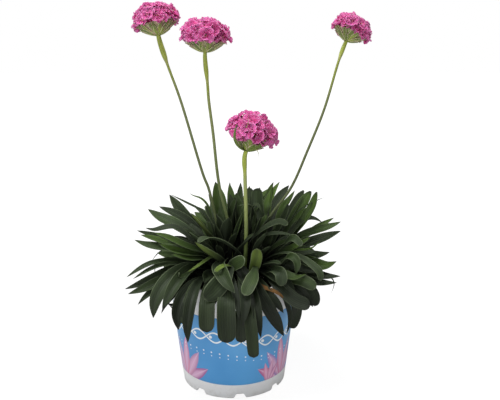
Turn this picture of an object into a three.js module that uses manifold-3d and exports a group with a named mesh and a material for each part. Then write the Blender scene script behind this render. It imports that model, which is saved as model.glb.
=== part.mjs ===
// A potted broadleaf thrift: printed nursery pot, compost, three leaf rosettes and four flower heads.
// Millimetres, +Z up. The origin is on the pot's axis at the face that the pot stands on.
import * as THREE from 'three';
import { mergeVertices } from 'three/addons/utils/BufferGeometryUtils.js';
import Module from 'manifold-3d';

const wasm = await Module();
wasm.setup();

// Pot
const potHeight = 105;
const rimRadius = 60;
const footRadius = 47.7;
const wallThickness = 1.5;
const rimLip = 1.1;
const rimLipHeight = 6;
const rimLipStep = 0.6;
const basePlateHeight = 5;
const basePlateThickness = 1.4;
const centreFootRadius = 9;
const centreFootFlare = 1.6;
const potSides = 32;
const footArches = 8;
const footArchWidth = 11;
const footArchHeight = 4;
const firstArchBearing = -82.5;
const drainHoles = 6;
const drainHoleRadius = 3.5;
const drainHoleReach = 30;
const drainHoleSides = 6;
const cutterDepth = 12;

// Label
const labelBottom = 13.3;
const labelTop = 79;
const labelRecess = 0.6;
const labelGap = 0.12;

// Compost
const soilTop = 95;
const soilGap = 0.3;
const crumbHeight = 1.1;
const soilShoulder = 4;
const soilSides = 20;
const soilRings = [0.92, 0.72, 0.5, 0.25, 0];

// Leaves
const tuftCentre = new THREE.Vector3(0, 0, 100);
const leafThickness = 1.3;
const leafShape = [[0, 0.24], [0.36, 0.5], [0.68, 0.95], [0.78, 1], [0.88, 0.86], [1, 0]];
const leafSeatDepth = 6;
const leafSeatReach = 3;
const lowRise = 60;
const highRise = 85;
const lowHandles = [0.48, 0.46];
const highHandles = [0.4, 0.36];
const turnToLight = 40;
const overSoil = 2.5;
const overRim = 1.5;
const rimSpan = [48, 56, 63];
const spareSteps = 11;
const spareStep = 0.07;
const leafStations = [0, 0.36, 0.68, 0.88];
const crownRadius = 8;
const crownTop = 106;
const rootBottom = 64;
const rootShoulder = 87;
const rootTipRadius = 3.2;
const crownSides = 8;

// Each rosette keeps to its own wedge of bearings, in degrees anticlockwise from +X.
// The flower stems rise in the slots between the wedges.
const slotBearings = { right: 27, left: 150, front: 296 };
const slotHalfWidth = { right: 1.8, left: 1.9, front: 2.2 };
const slotEndHalfWidth = 0.3;
const slotReach = { right: 66, left: 34, front: 32 };
const slotTaper = 14;

// Every leaf is given by where its tip lies as seen from the tuft's centre:
// bearing, elevation (both in degrees), distance, width, and for some a sideways curve in degrees.
const rosettes = [
  {
    name: 'rosette_back',
    from: 'right',
    to: 'left',
    crown: [0, 14],
    fills: [
      { count: 33, from: 32, to: 146, lowest: -14, highest: 62, shortest: 84, longest: 104 },
      { count: 7, from: 45, to: 135, lowest: 58, highest: 82, shortest: 60, longest: 84 },
    ],
    seed: 3,
    leaves: [
      [139, 36, 105, 11],
      [112, 55, 92, 8],
      [96, 54, 92, 6, -8],
      [84, 54, 92, 5],
      [76, 51, 90, 8, 10],
      [67, 48, 92, 12],
      [55, 49, 100, 6, 8],
      [49, 47, 102, 6],
      [41, 45, 102, 9, -8],
      [34, 41, 104, 8],
    ],
  },
  {
    name: 'rosette_left',
    from: 'left',
    to: 'front',
    crown: [-8.5, -8.5],
    fills: [
      { count: 15, from: 154, to: 212, lowest: -14, highest: 60, shortest: 84, longest: 104 },
      { count: 7, from: 170, to: 288, lowest: 55, highest: 82, shortest: 58, longest: 80 },
    ],
    seed: 11,
    leaves: [
      [155, 29, 106, 10, -8],
      [222, 55, 85, 8],
      [208, 45, 100, 10, 12],
      [210, 34, 100, 6, -20],
      [204, 30, 105, 5],
      [206, 25, 104, 7, 12],
      [212, 32, 92, 9],
      [219, 28, 90, 8, -6],
      [226, 24, 82, 8],
      [237, 37, 72, 7],
      [244, 38, 78, 5, -30],
      [216, 4, 108, 9, 8],
      [217, 1, 106, 6, -8],
      [222, -2, 103, 7],
      [232, -6, 103, 10, -8],
      [227, 63, 78, 9],
      [278, 26, 78, 12, 16],
      [276, 8, 88, 11, -10],
      [272, 9, 86, 10],
      [256, 5, 92, 12, 8],
      [255, -1, 95, 10, -6],
      [245, -9, 98, 9, 8],
      [247, -8, 95, 7, -10],
      [249, -15, 100, 8],
      [258, -10, 96, 12, 6],
      [267, -14, 98, 14],
      [276, -9, 93, 10, 8],
      [275, -15, 98, 9, -8],
      [281, -21, 103, 7, 8],
      [286, -12, 95, 6],
      [289, 20, 84, 9],
      [290, 44, 76, 7],
    ],
  },
  {
    name: 'rosette_right',
    from: 'front',
    to: 'right',
    crown: [13.3, -4.4],
    fills: [
      { count: 12, from: 350, to: 384, lowest: -14, highest: 58, shortest: 84, longest: 104 },
      { count: 6, from: 302, to: 380, lowest: 55, highest: 82, shortest: 58, longest: 80 },
    ],
    seed: 8,
    leaves: [
      [345, 55, 98, 6],
      [352, 48, 105, 8, -8],
      [349, 45, 109, 8, 8],
      [344, 53, 86, 8],
      [342, 34, 98, 7, -14],
      [16, 25, 108, 7],
      [7, 25, 110, 6, 10],
      [347, 25, 108, 6, -8],
      [341, 29, 84, 6],
      [331, 29, 78, 8, -24],
      [338, 20, 95, 7, 8],
      [334, 15, 98, 12],
      [334, 12, 103, 6, 12],
      [327, 7, 90, 6, -14],
      [330, 8, 106, 7, 8],
      [327, 5, 104, 6, -8],
      [331, 10, 95, 8],
      [316, 14, 75, 6, 10],
      [302, 9, 80, 12],
      [320, 14, 84, 8, 24],
      [320, 4, 92, 12, -6],
      [310, -2, 98, 13, 8],
      [316, -3, 100, 8, 20],
      [304, 34, 70, 9],
      [302, -3, 92, 7, 8],
      [300, -12, 96, 9, -6],
      [307, -14, 97, 9, -26],
      [304, 1, 86, 4, 12],
      [303, 22, 84, 9],
      [301, 42, 76, 7],
    ],
  },
];

// Flower stems: each rises in one slot, through points given as distance out from the axis and height.
const stemBase = 78;
const stemSteps = 10;
const tubeSides = 6;
const stemHoleGap = 1.1;
const stemNeck = 6;
const sheathRadius = 2;
const sheathOver = 0.4;
const flowers = [
  {
    slot: 'left',
    points: [[9, stemBase], [11, 110], [26, 176], [32, 189], [56, 257], [69, 287]],
    head: [79, 316],
    lean: 14,
    size: 45,
    radius: 1.1,
    sheath: 29,
    seed: 1,
  },
  {
    slot: 'left',
    points: [[2, stemBase], [4, 139], [15, 182], [21, 230], [25, 258], [26, 272]],
    head: [28, 300],
    lean: 1,
    size: 47,
    radius: 1.25,
    sheath: 28,
    seed: 2,
  },
  {
    slot: 'front',
    points: [[20, stemBase], [24, 113], [26, 135], [26.5, 153], [24.5, 195]],
    head: [28, 219],
    lean: 4,
    size: 46,
    radius: 1.6,
    sheath: 22,
    seed: 3,
  },
  {
    slot: 'right',
    points: [[10, stemBase], [18, 120], [38, 150], [60, 175], [78, 210], [95, 247], [110, 292]],
    head: [118, 310],
    lean: 20,
    size: 41,
    radius: 1.1,
    sheath: 20,
    seed: 4,
  },
];
const headModelSize = 46;
const bowlRadius = 16;
const bowlHeight = 8;
const bowlFloor = 3.8;
const bowlFloorRadius = 8.5;
const bracts = 10;
const bractTip = 2.5;
const bractSpread = 1.4;
const outerPeak = 0.4;
const calyxRadius = 3;
const bractThickness = 1.2;
const socketDepth = 2.6;
const socketSides = 8;
const seatGap = 0.35;
const florets = 24;
const lobes = 5;
const floretRadius = 6.6;
const floretDepth = 7;
const domeRadius = 21;
const domeHeight = 14.5;
const domeCentre = 14;
const coreRadius = 17;
const domeWrap = 1.05;
const skirtLift = 1;
const lobeNotch = 0.6;
const lobeRise = 1.6;
const notchDip = 0.4;

const degrees = Math.PI / 180;
const goldenShare = (Math.sqrt(5) - 1) / 2;
const goldenTurn = 2 * Math.PI * (1 - goldenShare);

// Joins and cuts

function solidOf(geometry) {
  const bare = geometry.index ? geometry.clone() : geometry;
  bare.deleteAttribute('normal');
  bare.deleteAttribute('uv');
  const merged = mergeVertices(bare, 1e-4);
  const triVerts = new Uint32Array(merged.index.array);
  const vertProperties = new Float32Array(merged.attributes.position.array);
  return new wasm.Manifold(new wasm.Mesh({ numProp: 3, vertProperties, triVerts }));
}

function unite(solids) {
  let row = solids;
  while (row.length > 1) {
    const next = [];
    for (let i = 0; i < row.length; i += 2) {
      next.push(i + 1 < row.length ? row[i].add(row[i + 1]) : row[i]);
    }
    row = next;
  }
  return row[0];
}

function volumeOf(positions, triangles) {
  const corners = [new THREE.Vector3(), new THREE.Vector3(), new THREE.Vector3()];
  let volume = 0;
  for (let t = 0; t < triangles.length; t += 3) {
    corners.forEach((corner, i) => corner.fromArray(positions, 3 * triangles[t + i]));
    volume += corners[0].dot(corners[1].cross(corners[2])) / 6;
  }
  return volume;
}

// The largest connected surface of a joined solid: sealed pockets are filled and loose scraps dropped.
function mainBody(solid) {
  const mesh = solid.getMesh();
  const parent = Array.from({ length: mesh.vertProperties.length / 3 }, (_, i) => i);
  const root = (i) => {
    while (parent[i] !== i) {
      parent[i] = parent[parent[i]];
      i = parent[i];
    }
    return i;
  };
  for (let t = 0; t < mesh.triVerts.length; t += 3) {
    parent[root(mesh.triVerts[t])] = root(mesh.triVerts[t + 1]);
    parent[root(mesh.triVerts[t])] = root(mesh.triVerts[t + 2]);
  }
  const shells = new Map();
  for (let t = 0; t < mesh.triVerts.length; t += 3) {
    const key = root(mesh.triVerts[t]);
    if (!shells.has(key)) shells.set(key, []);
    shells.get(key).push(...mesh.triVerts.slice(t, t + 3));
  }
  let best = null;
  let bestVolume = 0;
  for (const triangles of shells.values()) {
    const volume = volumeOf(mesh.vertProperties, triangles);
    if (volume > bestVolume) {
      best = triangles;
      bestVolume = volume;
    }
  }
  const geometry = new THREE.BufferGeometry();
  geometry.setAttribute('position', new THREE.BufferAttribute(new Float32Array(mesh.vertProperties), 3));
  geometry.setIndex(best);
  return geometry.toNonIndexed();
}

// A closed skin over rings of equal count, from a first to a last ring or point.
function loft(rings) {
  const count = Math.max(...rings.map((ring) => ring.length));
  const positions = rings.flat().flatMap((point) => point.toArray());
  const starts = [];
  let start = 0;
  for (const ring of rings) {
    starts.push(start);
    start += ring.length;
  }
  const triangles = [];
  const add = (...corners) => {
    if (new Set(corners).size === 3) triangles.push(...corners);
  };
  const at = (ring, i) => starts[ring] + (rings[ring].length > 1 ? i % count : 0);
  for (let r = 0; r + 1 < rings.length; r++) {
    for (let i = 0; i < count; i++) {
      add(at(r, i), at(r, i + 1), at(r + 1, i + 1));
      add(at(r, i), at(r + 1, i + 1), at(r + 1, i));
    }
  }
  const last = rings.length - 1;
  for (let i = 1; i + 1 < count; i++) {
    if (rings[0].length > 1) add(starts[0], starts[0] + i + 1, starts[0] + i);
    if (rings[last].length > 1) add(starts[last], starts[last] + i, starts[last] + i + 1);
  }
  if (volumeOf(positions, triangles) < 0) triangles.reverse();
  const geometry = new THREE.BufferGeometry();
  geometry.setAttribute('position', new THREE.Float32BufferAttribute(positions, 3));
  geometry.setIndex(triangles);
  return geometry;
}

function lathe(profile, sides) {
  const points = profile.map(([radius, height]) => new THREE.Vector2(radius, height));
  const geometry = new THREE.LatheGeometry(points, sides);
  geometry.rotateX(Math.PI / 2);
  const merged = mergeVertices(geometry.deleteAttribute('normal').deleteAttribute('uv'), 1e-4);
  const triangles = Array.from(merged.index.array);
  const sound = [];
  for (let t = 0; t < triangles.length; t += 3) {
    const corners = triangles.slice(t, t + 3);
    if (new Set(corners).size === 3) sound.push(...corners);
  }
  if (volumeOf(merged.attributes.position.array, sound) < 0) sound.reverse();
  merged.setIndex(sound);
  return merged;
}

const cylinder = (radius, height, sides) => {
  const geometry = new THREE.CylinderGeometry(radius, radius, height, sides);
  return geometry.rotateX(Math.PI / 2);
};

// A repeatable draw of numbers from 0 to 1.
function drawer(seed) {
  let state = seed * 7919 + 17;
  return () => {
    state = (state * 16807) % 2147483647;
    return state / 2147483647;
  };
}

// Pot, label and compost

const wallRadius = (height) => footRadius + (rimRadius - footRadius) * height / potHeight;

function potGeometry() {
  const inner = (height) => wallRadius(height) - wallThickness;
  const plateTop = basePlateHeight + basePlateThickness;
  const lipBottom = potHeight - rimLipHeight;
  const body = solidOf(lathe([
    [0, 0],
    [centreFootRadius, 0],
    [centreFootRadius + centreFootFlare, basePlateHeight],
    [inner(basePlateHeight), basePlateHeight],
    [inner(0), 0],
    [wallRadius(0), 0],
    [wallRadius(labelBottom), labelBottom],
    [wallRadius(labelBottom) - labelRecess, labelBottom],
    [wallRadius(labelTop) - labelRecess, labelTop],
    [wallRadius(labelTop), labelTop],
    [wallRadius(lipBottom), lipBottom],
    [wallRadius(lipBottom) + rimLip, lipBottom + rimLipStep],
    [rimRadius + rimLip, potHeight],
    [inner(potHeight), potHeight],
    [inner(plateTop), plateTop],
    [0, plateTop],
  ], potSides));
  const cutters = [];
  for (let i = 0; i < footArches; i++) {
    const half = footArchWidth / 2;
    const outline = new THREE.Shape();
    outline.moveTo(-half, -1);
    outline.lineTo(half, -1);
    outline.lineTo(half, footArchHeight * 0.4);
    outline.lineTo(half * 0.6, footArchHeight);
    outline.lineTo(-half * 0.6, footArchHeight);
    outline.lineTo(-half, footArchHeight * 0.4);
    const arch = new THREE.ExtrudeGeometry(outline, { depth: cutterDepth, bevelEnabled: false });
    arch.rotateX(Math.PI / 2);
    arch.rotateZ(Math.PI / 2);
    arch.translate(footRadius - cutterDepth * 2 / 3, 0, 0);
    arch.rotateZ((firstArchBearing + i * 360 / footArches) * degrees);
    cutters.push(solidOf(arch));
  }
  for (let i = 0; i < drainHoles; i++) {
    const hole = cylinder(drainHoleRadius, cutterDepth / 2, drainHoleSides);
    hole.translate(drainHoleReach, 0, basePlateHeight);
    hole.rotateZ(i * 2 * Math.PI / drainHoles);
    cutters.push(solidOf(hole));
  }
  return mainBody(body.subtract(unite(cutters)));
}

function labelGeometry() {
  const bottom = labelBottom + labelGap;
  const top = labelTop - labelGap;
  const inner = (height) => wallRadius(height) - labelRecess + labelGap;
  return lathe([
    [inner(bottom), bottom],
    [wallRadius(bottom), bottom],
    [wallRadius(top), top],
    [inner(top), top],
    [inner(bottom), bottom],
  ], potSides);
}

// Loose crumbs as gentle waves of three sizes.
const crumb = (x, y) => crumbHeight * (
  0.5 * Math.sin(x * 0.31 + 1) * Math.cos(y * 0.27)
  + 0.3 * Math.sin(x * 0.62 - y * 0.41)
  + 0.2 * Math.cos(x * 0.9 + y * 0.83));

function soilGeometry(holes) {
  const floor = basePlateHeight + basePlateThickness + soilGap;
  const outer = (height) => wallRadius(height) - wallThickness - soilGap;
  const edge = outer(soilTop - soilShoulder);
  const body = lathe([
    [0, floor],
    [outer(floor), floor],
    [edge, soilTop - soilShoulder],
    ...soilRings.map((share) => [edge * share, soilTop]),
  ], soilSides);
  const place = body.attributes.position;
  for (let i = 0; i < place.count; i++) {
    if (place.getZ(i) > soilTop - 1) place.setZ(i, soilTop + crumb(place.getX(i), place.getY(i)));
  }
  return mainBody(solidOf(body).subtract(unite(holes)));
}

// Leaves

function wedgeOf(rosette) {
  const turn = (slot, into) => {
    const bearing = slotBearings[slot] * degrees;
    return {
      along: new THREE.Vector2(Math.cos(bearing), Math.sin(bearing)),
      inward: new THREE.Vector2(-Math.sin(bearing) * into, Math.cos(bearing) * into),
      reach: slotReach[slot],
      halfWidth: slotHalfWidth[slot],
    };
  };
  return [turn(rosette.from, 1), turn(rosette.to, -1)];
}

// Moves a point into its rosette's wedge, clear of the stems' slots, and over the compost and the rim.
function keepClear(point, wedge, margin) {
  for (const side of wedge) {
    const flat = new THREE.Vector2(point.x, point.y);
    const out = flat.dot(side.along);
    const near = 1 - THREE.MathUtils.clamp((out - side.reach) / slotTaper, 0, 1);
    const least = THREE.MathUtils.lerp(slotEndHalfWidth, side.halfWidth, near) + margin;
    const away = flat.dot(side.inward);
    if (away < least) {
      point.x += side.inward.x * (least - away);
      point.y += side.inward.y * (least - away);
    }
  }
  const out = Math.hypot(point.x, point.y);
  const [inside, wall, outside] = rimSpan;
  if (out > crownRadius * 3 && out < outside) {
    const near = THREE.MathUtils.clamp((out - inside) / (wall - inside), 0, 1);
    const floor = THREE.MathUtils.lerp(soilTop + overSoil, potHeight + overRim, near);
    point.z = Math.max(point.z, floor + margin);
  }
  return point;
}

// A direction from its bearing and its slope above level, in radians.
const heading = (bearing, slope) => new THREE.Vector3(
  Math.cos(slope) * Math.cos(bearing),
  Math.cos(slope) * Math.sin(bearing),
  Math.sin(slope),
);

// The share of its full width that a leaf has at a share of its length.
function leafWidthAt(share) {
  const next = Math.max(1, leafShape.findIndex(([place]) => place >= share));
  const [low, narrow] = leafShape[next - 1];
  const [high, wide] = leafShape[next];
  return THREE.MathUtils.mapLinear(share, low, high, narrow, wide);
}

// Leaves rise steeply from the crown and arch over, the low ones furthest.
function leafGeometry(leaf, index, rosette, wedge) {
  const [bearing, elevation, distance, width, curve = 0] = leaf;
  const spare = (index % spareSteps) * spareStep;
  const turn = bearing * degrees;
  const tip = heading(turn, elevation * degrees).multiplyScalar(distance).add(tuftCentre);
  const [crownX, crownY] = rosette.crown;
  const outward = Math.atan2(tip.y - crownY, tip.x - crownX);
  const start = new THREE.Vector3(
    crownX + leafSeatReach * Math.cos(outward),
    crownY + leafSeatReach * Math.sin(outward),
    crownTop - leafSeatDepth + leafSeatReach * Math.max(0, elevation / 90),
  );
  const rise = (lowRise + (highRise - lowRise) * Math.max(0, (elevation - 10) / 70)) * degrees;
  const drop = 18 + 0.27 * Math.max(0, 45 - elevation) + 1.2 * Math.max(0, -elevation);
  const fall = (elevation - drop) * degrees;
  const reach = start.distanceTo(tip);
  const [startHandle, tipHandle] = elevation < 0 ? lowHandles : highHandles;
  const spine = new THREE.CubicBezierCurve3(
    start,
    start.clone().addScaledVector(heading(outward - curve * degrees, rise), reach * startHandle),
    tip.clone().addScaledVector(heading(outward + curve * degrees, fall), -reach * tipHandle),
    tip,
  );
  const rings = leafStations.map((share) => {
    const middle = keepClear(spine.getPoint(share), share > 0 ? wedge : [], leafThickness + spare);
    const along = spine.getTangent(share);
    const across = new THREE.Vector3(-Math.sin(outward), Math.cos(outward), 0);
    across.addScaledVector(along, -across.dot(along)).normalize();
    across.applyAxisAngle(along, turnToLight * degrees * Math.cos(turn));
    const up = new THREE.Vector3().crossVectors(along, across).normalize();
    const half = width * leafWidthAt(share) / 2;
    const keel = leafThickness / 2;
    const corner = (side, lift) => middle.clone().addScaledVector(across, side).addScaledVector(up, lift);
    const ring = [corner(-half, keel), corner(0, -keel), corner(half, keel)];
    return share > 0 ? ring.map((point) => keepClear(point, wedge, spare)) : ring;
  });
  return loft([...rings, [keepClear(tip.clone(), wedge, leafThickness / 2 + spare)]]);
}

// Leaves that fill a span of bearings and elevations evenly, no two alike.
function fillLeaves(rosette) {
  const draw = drawer(rosette.seed);
  const between = (low, high, share) => THREE.MathUtils.lerp(low, high, share);
  return rosette.fills.flatMap((fill) => Array.from({ length: fill.count }, (_, i) => {
    const bearing = between(fill.from, fill.to, (i * goldenShare + 0.3) % 1) + 4 * (draw() - 0.5);
    const low = Math.sin(fill.lowest * degrees);
    const high = Math.sin(fill.highest * degrees);
    const elevation = Math.asin(between(low, high, (i + 0.5) / fill.count)) / degrees;
    const distance = between(fill.shortest, fill.longest, draw()) - 0.12 * Math.max(0, elevation);
    const width = between(6, 12, draw());
    const curve = between(-16, 16, draw());
    return [bearing, elevation, distance, width, curve];
  }));
}

// A woody crown with a short tapered root under it, and the plain hole that it stands in.
const crownProfile = [
  [0, rootBottom],
  [rootTipRadius, rootBottom],
  [crownRadius, rootShoulder],
  [crownRadius, crownTop - 3],
  [crownRadius * 0.6, crownTop],
  [0, crownTop],
];

const crownHoleProfile = [
  [0, rootBottom - seatGap],
  [rootTipRadius + seatGap, rootBottom - seatGap],
  [crownRadius + seatGap, rootShoulder],
  [crownRadius + seatGap, crownTop],
  [0, crownTop],
];

function crownSolid(rosette, profile) {
  const body = lathe(profile, crownSides);
  body.translate(rosette.crown[0], rosette.crown[1], 0);
  return solidOf(body);
}

function rosetteGeometry(rosette) {
  const wedge = wedgeOf(rosette);
  const leaves = [...rosette.leaves, ...fillLeaves(rosette)];
  const solids = leaves.map((leaf, i) => solidOf(leafGeometry(leaf, i, rosette, wedge)));
  return mainBody(unite([crownSolid(rosette, crownProfile), ...solids]));
}

// Flowers, each built upright on its own head frame and then leant into place

function slotPoint(flower, out, height) {
  return heading(slotBearings[flower.slot] * degrees, 0).multiplyScalar(out).setZ(height);
}

function headFrame(flower) {
  const bearing = slotBearings[flower.slot] * degrees;
  const lean = flower.lean * degrees;
  const axis = heading(bearing, Math.PI / 2 - lean);
  const turn = new THREE.Quaternion().setFromUnitVectors(new THREE.Vector3(0, 0, 1), axis);
  const size = flower.size / headModelSize;
  const place = slotPoint(flower, ...flower.head);
  const matrix = new THREE.Matrix4().compose(place, turn, new THREE.Vector3(size, size, size));
  return { axis, place, matrix };
}

function tube(curve, radius, steps) {
  const circle = new THREE.EllipseCurve(0, 0, radius, radius).getPoints(tubeSides);
  const section = new THREE.Shape(circle.slice(0, tubeSides));
  return new THREE.ExtrudeGeometry(section, { steps, bevelEnabled: false, extrudePath: curve });
}

function stemPath(flower) {
  const frame = headFrame(flower);
  const points = flower.points.map(([out, height]) => slotPoint(flower, out, height));
  for (const height of [-stemNeck, socketDepth - 2 * seatGap]) {
    points.push(frame.place.clone().addScaledVector(frame.axis, height));
  }
  return new THREE.CatmullRomCurve3(points);
}

function stemSolid(flower) {
  const path = stemPath(flower);
  const length = path.getLength();
  const sheathStart = 1 - (flower.sheath + socketDepth) / length;
  const sheathEnd = 1 - (socketDepth + seatGap) / length;
  const shares = [0, 0.35, 0.7, 1].map((share) => THREE.MathUtils.lerp(sheathStart, sheathEnd, share));
  const sheathPath = new THREE.CatmullRomCurve3(shares.map((share) => path.getPointAt(share)));
  const stem = solidOf(tube(path, flower.radius, stemSteps));
  return stem.add(solidOf(tube(sheathPath, Math.max(sheathRadius, flower.radius + sheathOver), 4)));
}

function stemHole(flower) {
  const path = stemPath(flower);
  const top = path.points[0].clone().lerp(path.points[1], 1.2);
  const foot = path.points[0].clone().lerp(path.points[1], -0.05);
  return solidOf(tube(new THREE.LineCurve3(foot, top), flower.radius + stemHoleGap, 1));
}

// Pointed bracts round a shallow bowl, every other one shorter and further out.
function bractGeometry(flower) {
  const points = bracts * 2;
  const ring = (radius, height, spread, peak) => Array.from({ length: points }, (_, i) => {
    const isOuter = i % 4 === 0;
    const isNotch = i % 2 === 1;
    const tip = isNotch ? 0 : peak * (isOuter ? outerPeak : 1);
    const out = radius + (isOuter ? spread : 0);
    return heading(i * Math.PI / bracts, 0).multiplyScalar(out).setZ(height + tip);
  });
  const cup = solidOf(loft([
    ring(calyxRadius, 0, 0, 0),
    ring(bowlFloorRadius + 1.5, bowlFloor - 1.6, bractSpread / 2, 0),
    ring(bowlRadius, bowlHeight - bractTip, bractSpread, bractTip),
    ring(bowlRadius - bractThickness, bowlHeight - bractTip, bractSpread, bractTip),
    ring(bowlFloorRadius, bowlFloor, 0, 0),
  ]));
  const socket = cylinder(flower.radius + seatGap, socketDepth * 2, socketSides);
  const geometry = mainBody(cup.subtract(solidOf(socket)));
  return geometry.applyMatrix4(headFrame(flower).matrix);
}

// One floret: a five-lobed cup whose narrow foot is sunk in the head's core.
function floretGeometry(direction, spin, radius) {
  const point = (share, angle, height) => [
    radius * share * Math.cos(angle),
    radius * share * Math.sin(angle),
    height,
  ];
  const foot = [0, 0, -floretDepth];
  const centre = [0, 0, notchDip / 2];
  const lobeTurn = 2 * Math.PI / lobes;
  const faces = [];
  for (let i = 0; i < lobes; i++) {
    const notch = point(lobeNotch, (i - 0.5) * lobeTurn, -notchDip);
    const tip = point(1, i * lobeTurn, lobeRise);
    const next = point(lobeNotch, (i + 0.5) * lobeTurn, -notchDip);
    faces.push(foot, next, notch, notch, next, tip, centre, notch, tip, centre, tip, next);
  }
  const cup = new THREE.BufferGeometry();
  cup.setAttribute('position', new THREE.Float32BufferAttribute(faces.flat(), 3));
  cup.rotateZ(spin);
  cup.applyQuaternion(new THREE.Quaternion().setFromUnitVectors(new THREE.Vector3(0, 0, 1), direction));
  return cup;
}

function floretsGeometry(flower) {
  const draw = drawer(flower.seed + 20);
  const core = lathe([
    [0, bowlFloor + seatGap],
    [bowlFloorRadius - 0.5, bowlFloor + seatGap],
    [coreRadius - 1, domeCentre - 3],
    [coreRadius, domeCentre + 1],
    [coreRadius * 0.7, domeCentre + domeHeight * 0.6],
    [0, domeCentre + domeHeight * 0.8],
  ], 8);
  const solids = [solidOf(core)];
  for (let i = 0; i < florets; i++) {
    const share = (i + 0.5) / florets;
    const polar = Math.acos(1 - domeWrap * share);
    const turn = i * goldenTurn + 0.2 * draw();
    const direction = heading(turn, Math.PI / 2 - polar);
    const floret = floretGeometry(direction, draw() * 2, floretRadius * (0.9 + 0.2 * draw()));
    const lift = direction.z > 0 ? domeHeight * direction.z : skirtLift;
    floret.translate(domeRadius * direction.x, domeRadius * direction.y, domeCentre + lift);
    solids.push(solidOf(floret));
  }
  const geometry = mainBody(unite(solids));
  return geometry.applyMatrix4(headFrame(flower).matrix);
}

// The scene graph

const plant = new THREE.Group();

function addPiece(name, geometry, colour, roughness) {
  const material = new THREE.MeshStandardMaterial({ color: colour, roughness, metalness: 0 });
  const mesh = new THREE.Mesh(geometry, material);
  mesh.name = name;
  plant.add(mesh);
}

addPiece('pot', potGeometry(), 0xeef0f0, 0.45);
addPiece('pot_label', labelGeometry(), 0x4c93c6, 0.4);
const holes = [
  ...rosettes.map((rosette) => crownSolid(rosette, crownHoleProfile)),
  ...flowers.map(stemHole),
];
addPiece('compost', soilGeometry(holes), 0x2b2019, 0.95);
for (const rosette of rosettes) {
  addPiece(rosette.name, rosetteGeometry(rosette), 0x35502a, 0.6);
}
flowers.forEach((flower, i) => {
  addPiece(`stem_${i + 1}`, mainBody(stemSolid(flower)), 0x6f8a4c, 0.6);
  addPiece(`bracts_${i + 1}`, bractGeometry(flower), 0x7f9a52, 0.65);
  addPiece(`florets_${i + 1}`, floretsGeometry(flower), 0xd2559c, 0.55);
});

export default plant;
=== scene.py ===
import math

import bpy
import numpy as np
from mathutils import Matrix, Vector, noise


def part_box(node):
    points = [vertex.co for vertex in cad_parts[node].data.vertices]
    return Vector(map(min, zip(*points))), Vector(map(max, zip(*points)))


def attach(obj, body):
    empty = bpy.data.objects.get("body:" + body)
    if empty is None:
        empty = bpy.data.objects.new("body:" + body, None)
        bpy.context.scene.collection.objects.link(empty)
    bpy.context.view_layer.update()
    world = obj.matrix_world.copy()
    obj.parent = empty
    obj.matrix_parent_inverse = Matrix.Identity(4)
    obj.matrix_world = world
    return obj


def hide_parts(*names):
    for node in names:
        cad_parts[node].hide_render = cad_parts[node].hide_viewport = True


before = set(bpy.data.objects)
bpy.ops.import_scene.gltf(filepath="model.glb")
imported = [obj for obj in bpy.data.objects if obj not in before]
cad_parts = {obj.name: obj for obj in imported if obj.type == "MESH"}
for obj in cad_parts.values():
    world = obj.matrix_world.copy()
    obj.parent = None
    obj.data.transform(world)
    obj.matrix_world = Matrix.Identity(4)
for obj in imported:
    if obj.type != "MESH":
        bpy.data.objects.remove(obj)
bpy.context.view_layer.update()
mm = 0.001  # every length below is in millimetres, and a piece is turned into metres when it is made
print("frame loaded:", len(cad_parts), "nodes")


def boxOf(node):
    low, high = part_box(node)
    return np.array(low) / mm, np.array(high) / mm


# Camera, lights and the floor they stand on

view = {"place": (15, -570, 300), "pitchDown": 12.9, "focal": 46.8, "sensor": 36}
picture = {"width": 500, "height": 400}
studio = {
    "worldLight": 0.34, "backdrop": 1.0, "floor": "#c9c9c8",
    "floorLight": 1.14, "floorFade": (120, 420), "floorSides": 64, "floorGlow": 0.8, "floorRadius": 9000,
    "lamps": [  # place, aim, size, watts
        ((-350, -200, 1300), (0, 0, 150), 650, 14),
        ((-450, -1100, 450), (0, 0, 120), 600, 4.7),
        ((700, 300, 1100), (0, 0, 180), 800, 5),
    ],
}


def ink(code):  # a screen colour as Blender's linear one
    parts = [int(code[i:i + 2], 16) / 255 for i in (1, 3, 5)]
    return tuple(p / 12.92 if p <= 0.04045 else ((p + 0.055) / 1.055) ** 2.4 for p in parts)


def addCamera():
    camera = bpy.data.objects.new("camera", bpy.data.cameras.new("camera"))
    camera.data.lens = view["focal"]
    camera.data.sensor_width = view["sensor"]
    camera.data.clip_end = 100
    camera.location = Vector(view["place"]) * mm
    camera.rotation_euler = (math.radians(90 - view["pitchDown"]), 0, 0)
    bpy.context.scene.collection.objects.link(camera)
    bpy.context.scene.camera = camera


def addLamps():
    for i, (place, aim, size, watts) in enumerate(studio["lamps"]):
        lamp = bpy.data.lights.new(f"lamp_{i}", "AREA")
        lamp.shape = "DISK"
        lamp.size = size * mm
        lamp.energy = watts
        holder = bpy.data.objects.new(lamp.name, lamp)
        holder.location = Vector(place) * mm
        holder.rotation_euler = (Vector(aim) - Vector(place)).to_track_quat("-Z", "Y").to_euler()
        bpy.context.scene.collection.objects.link(holder)


def addWorld():
    world = bpy.data.worlds.new("studio")
    bpy.context.scene.world = world
    world.use_nodes = True
    tree = world.node_tree
    sky = tree.nodes["Background"]
    wall = tree.nodes.new("ShaderNodeBackground")
    chosen = tree.nodes.new("ShaderNodeMixShader")
    rays = tree.nodes.new("ShaderNodeLightPath")
    sky.inputs["Strength"].default_value = studio["worldLight"]
    wall.inputs["Strength"].default_value = studio["backdrop"]
    for background in (sky, wall):
        background.inputs["Color"].default_value = (1, 1, 1, 1)
    tree.links.new(rays.outputs["Is Camera Ray"], chosen.inputs[0])
    tree.links.new(sky.outputs[0], chosen.inputs[1])
    tree.links.new(wall.outputs[0], chosen.inputs[2])
    tree.links.new(chosen.outputs[0], tree.nodes["World Output"].inputs["Surface"])


bpy.context.scene.view_settings.view_transform = "Standard"
addCamera()
addLamps()
addWorld()
print("camera and lights set")


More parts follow.
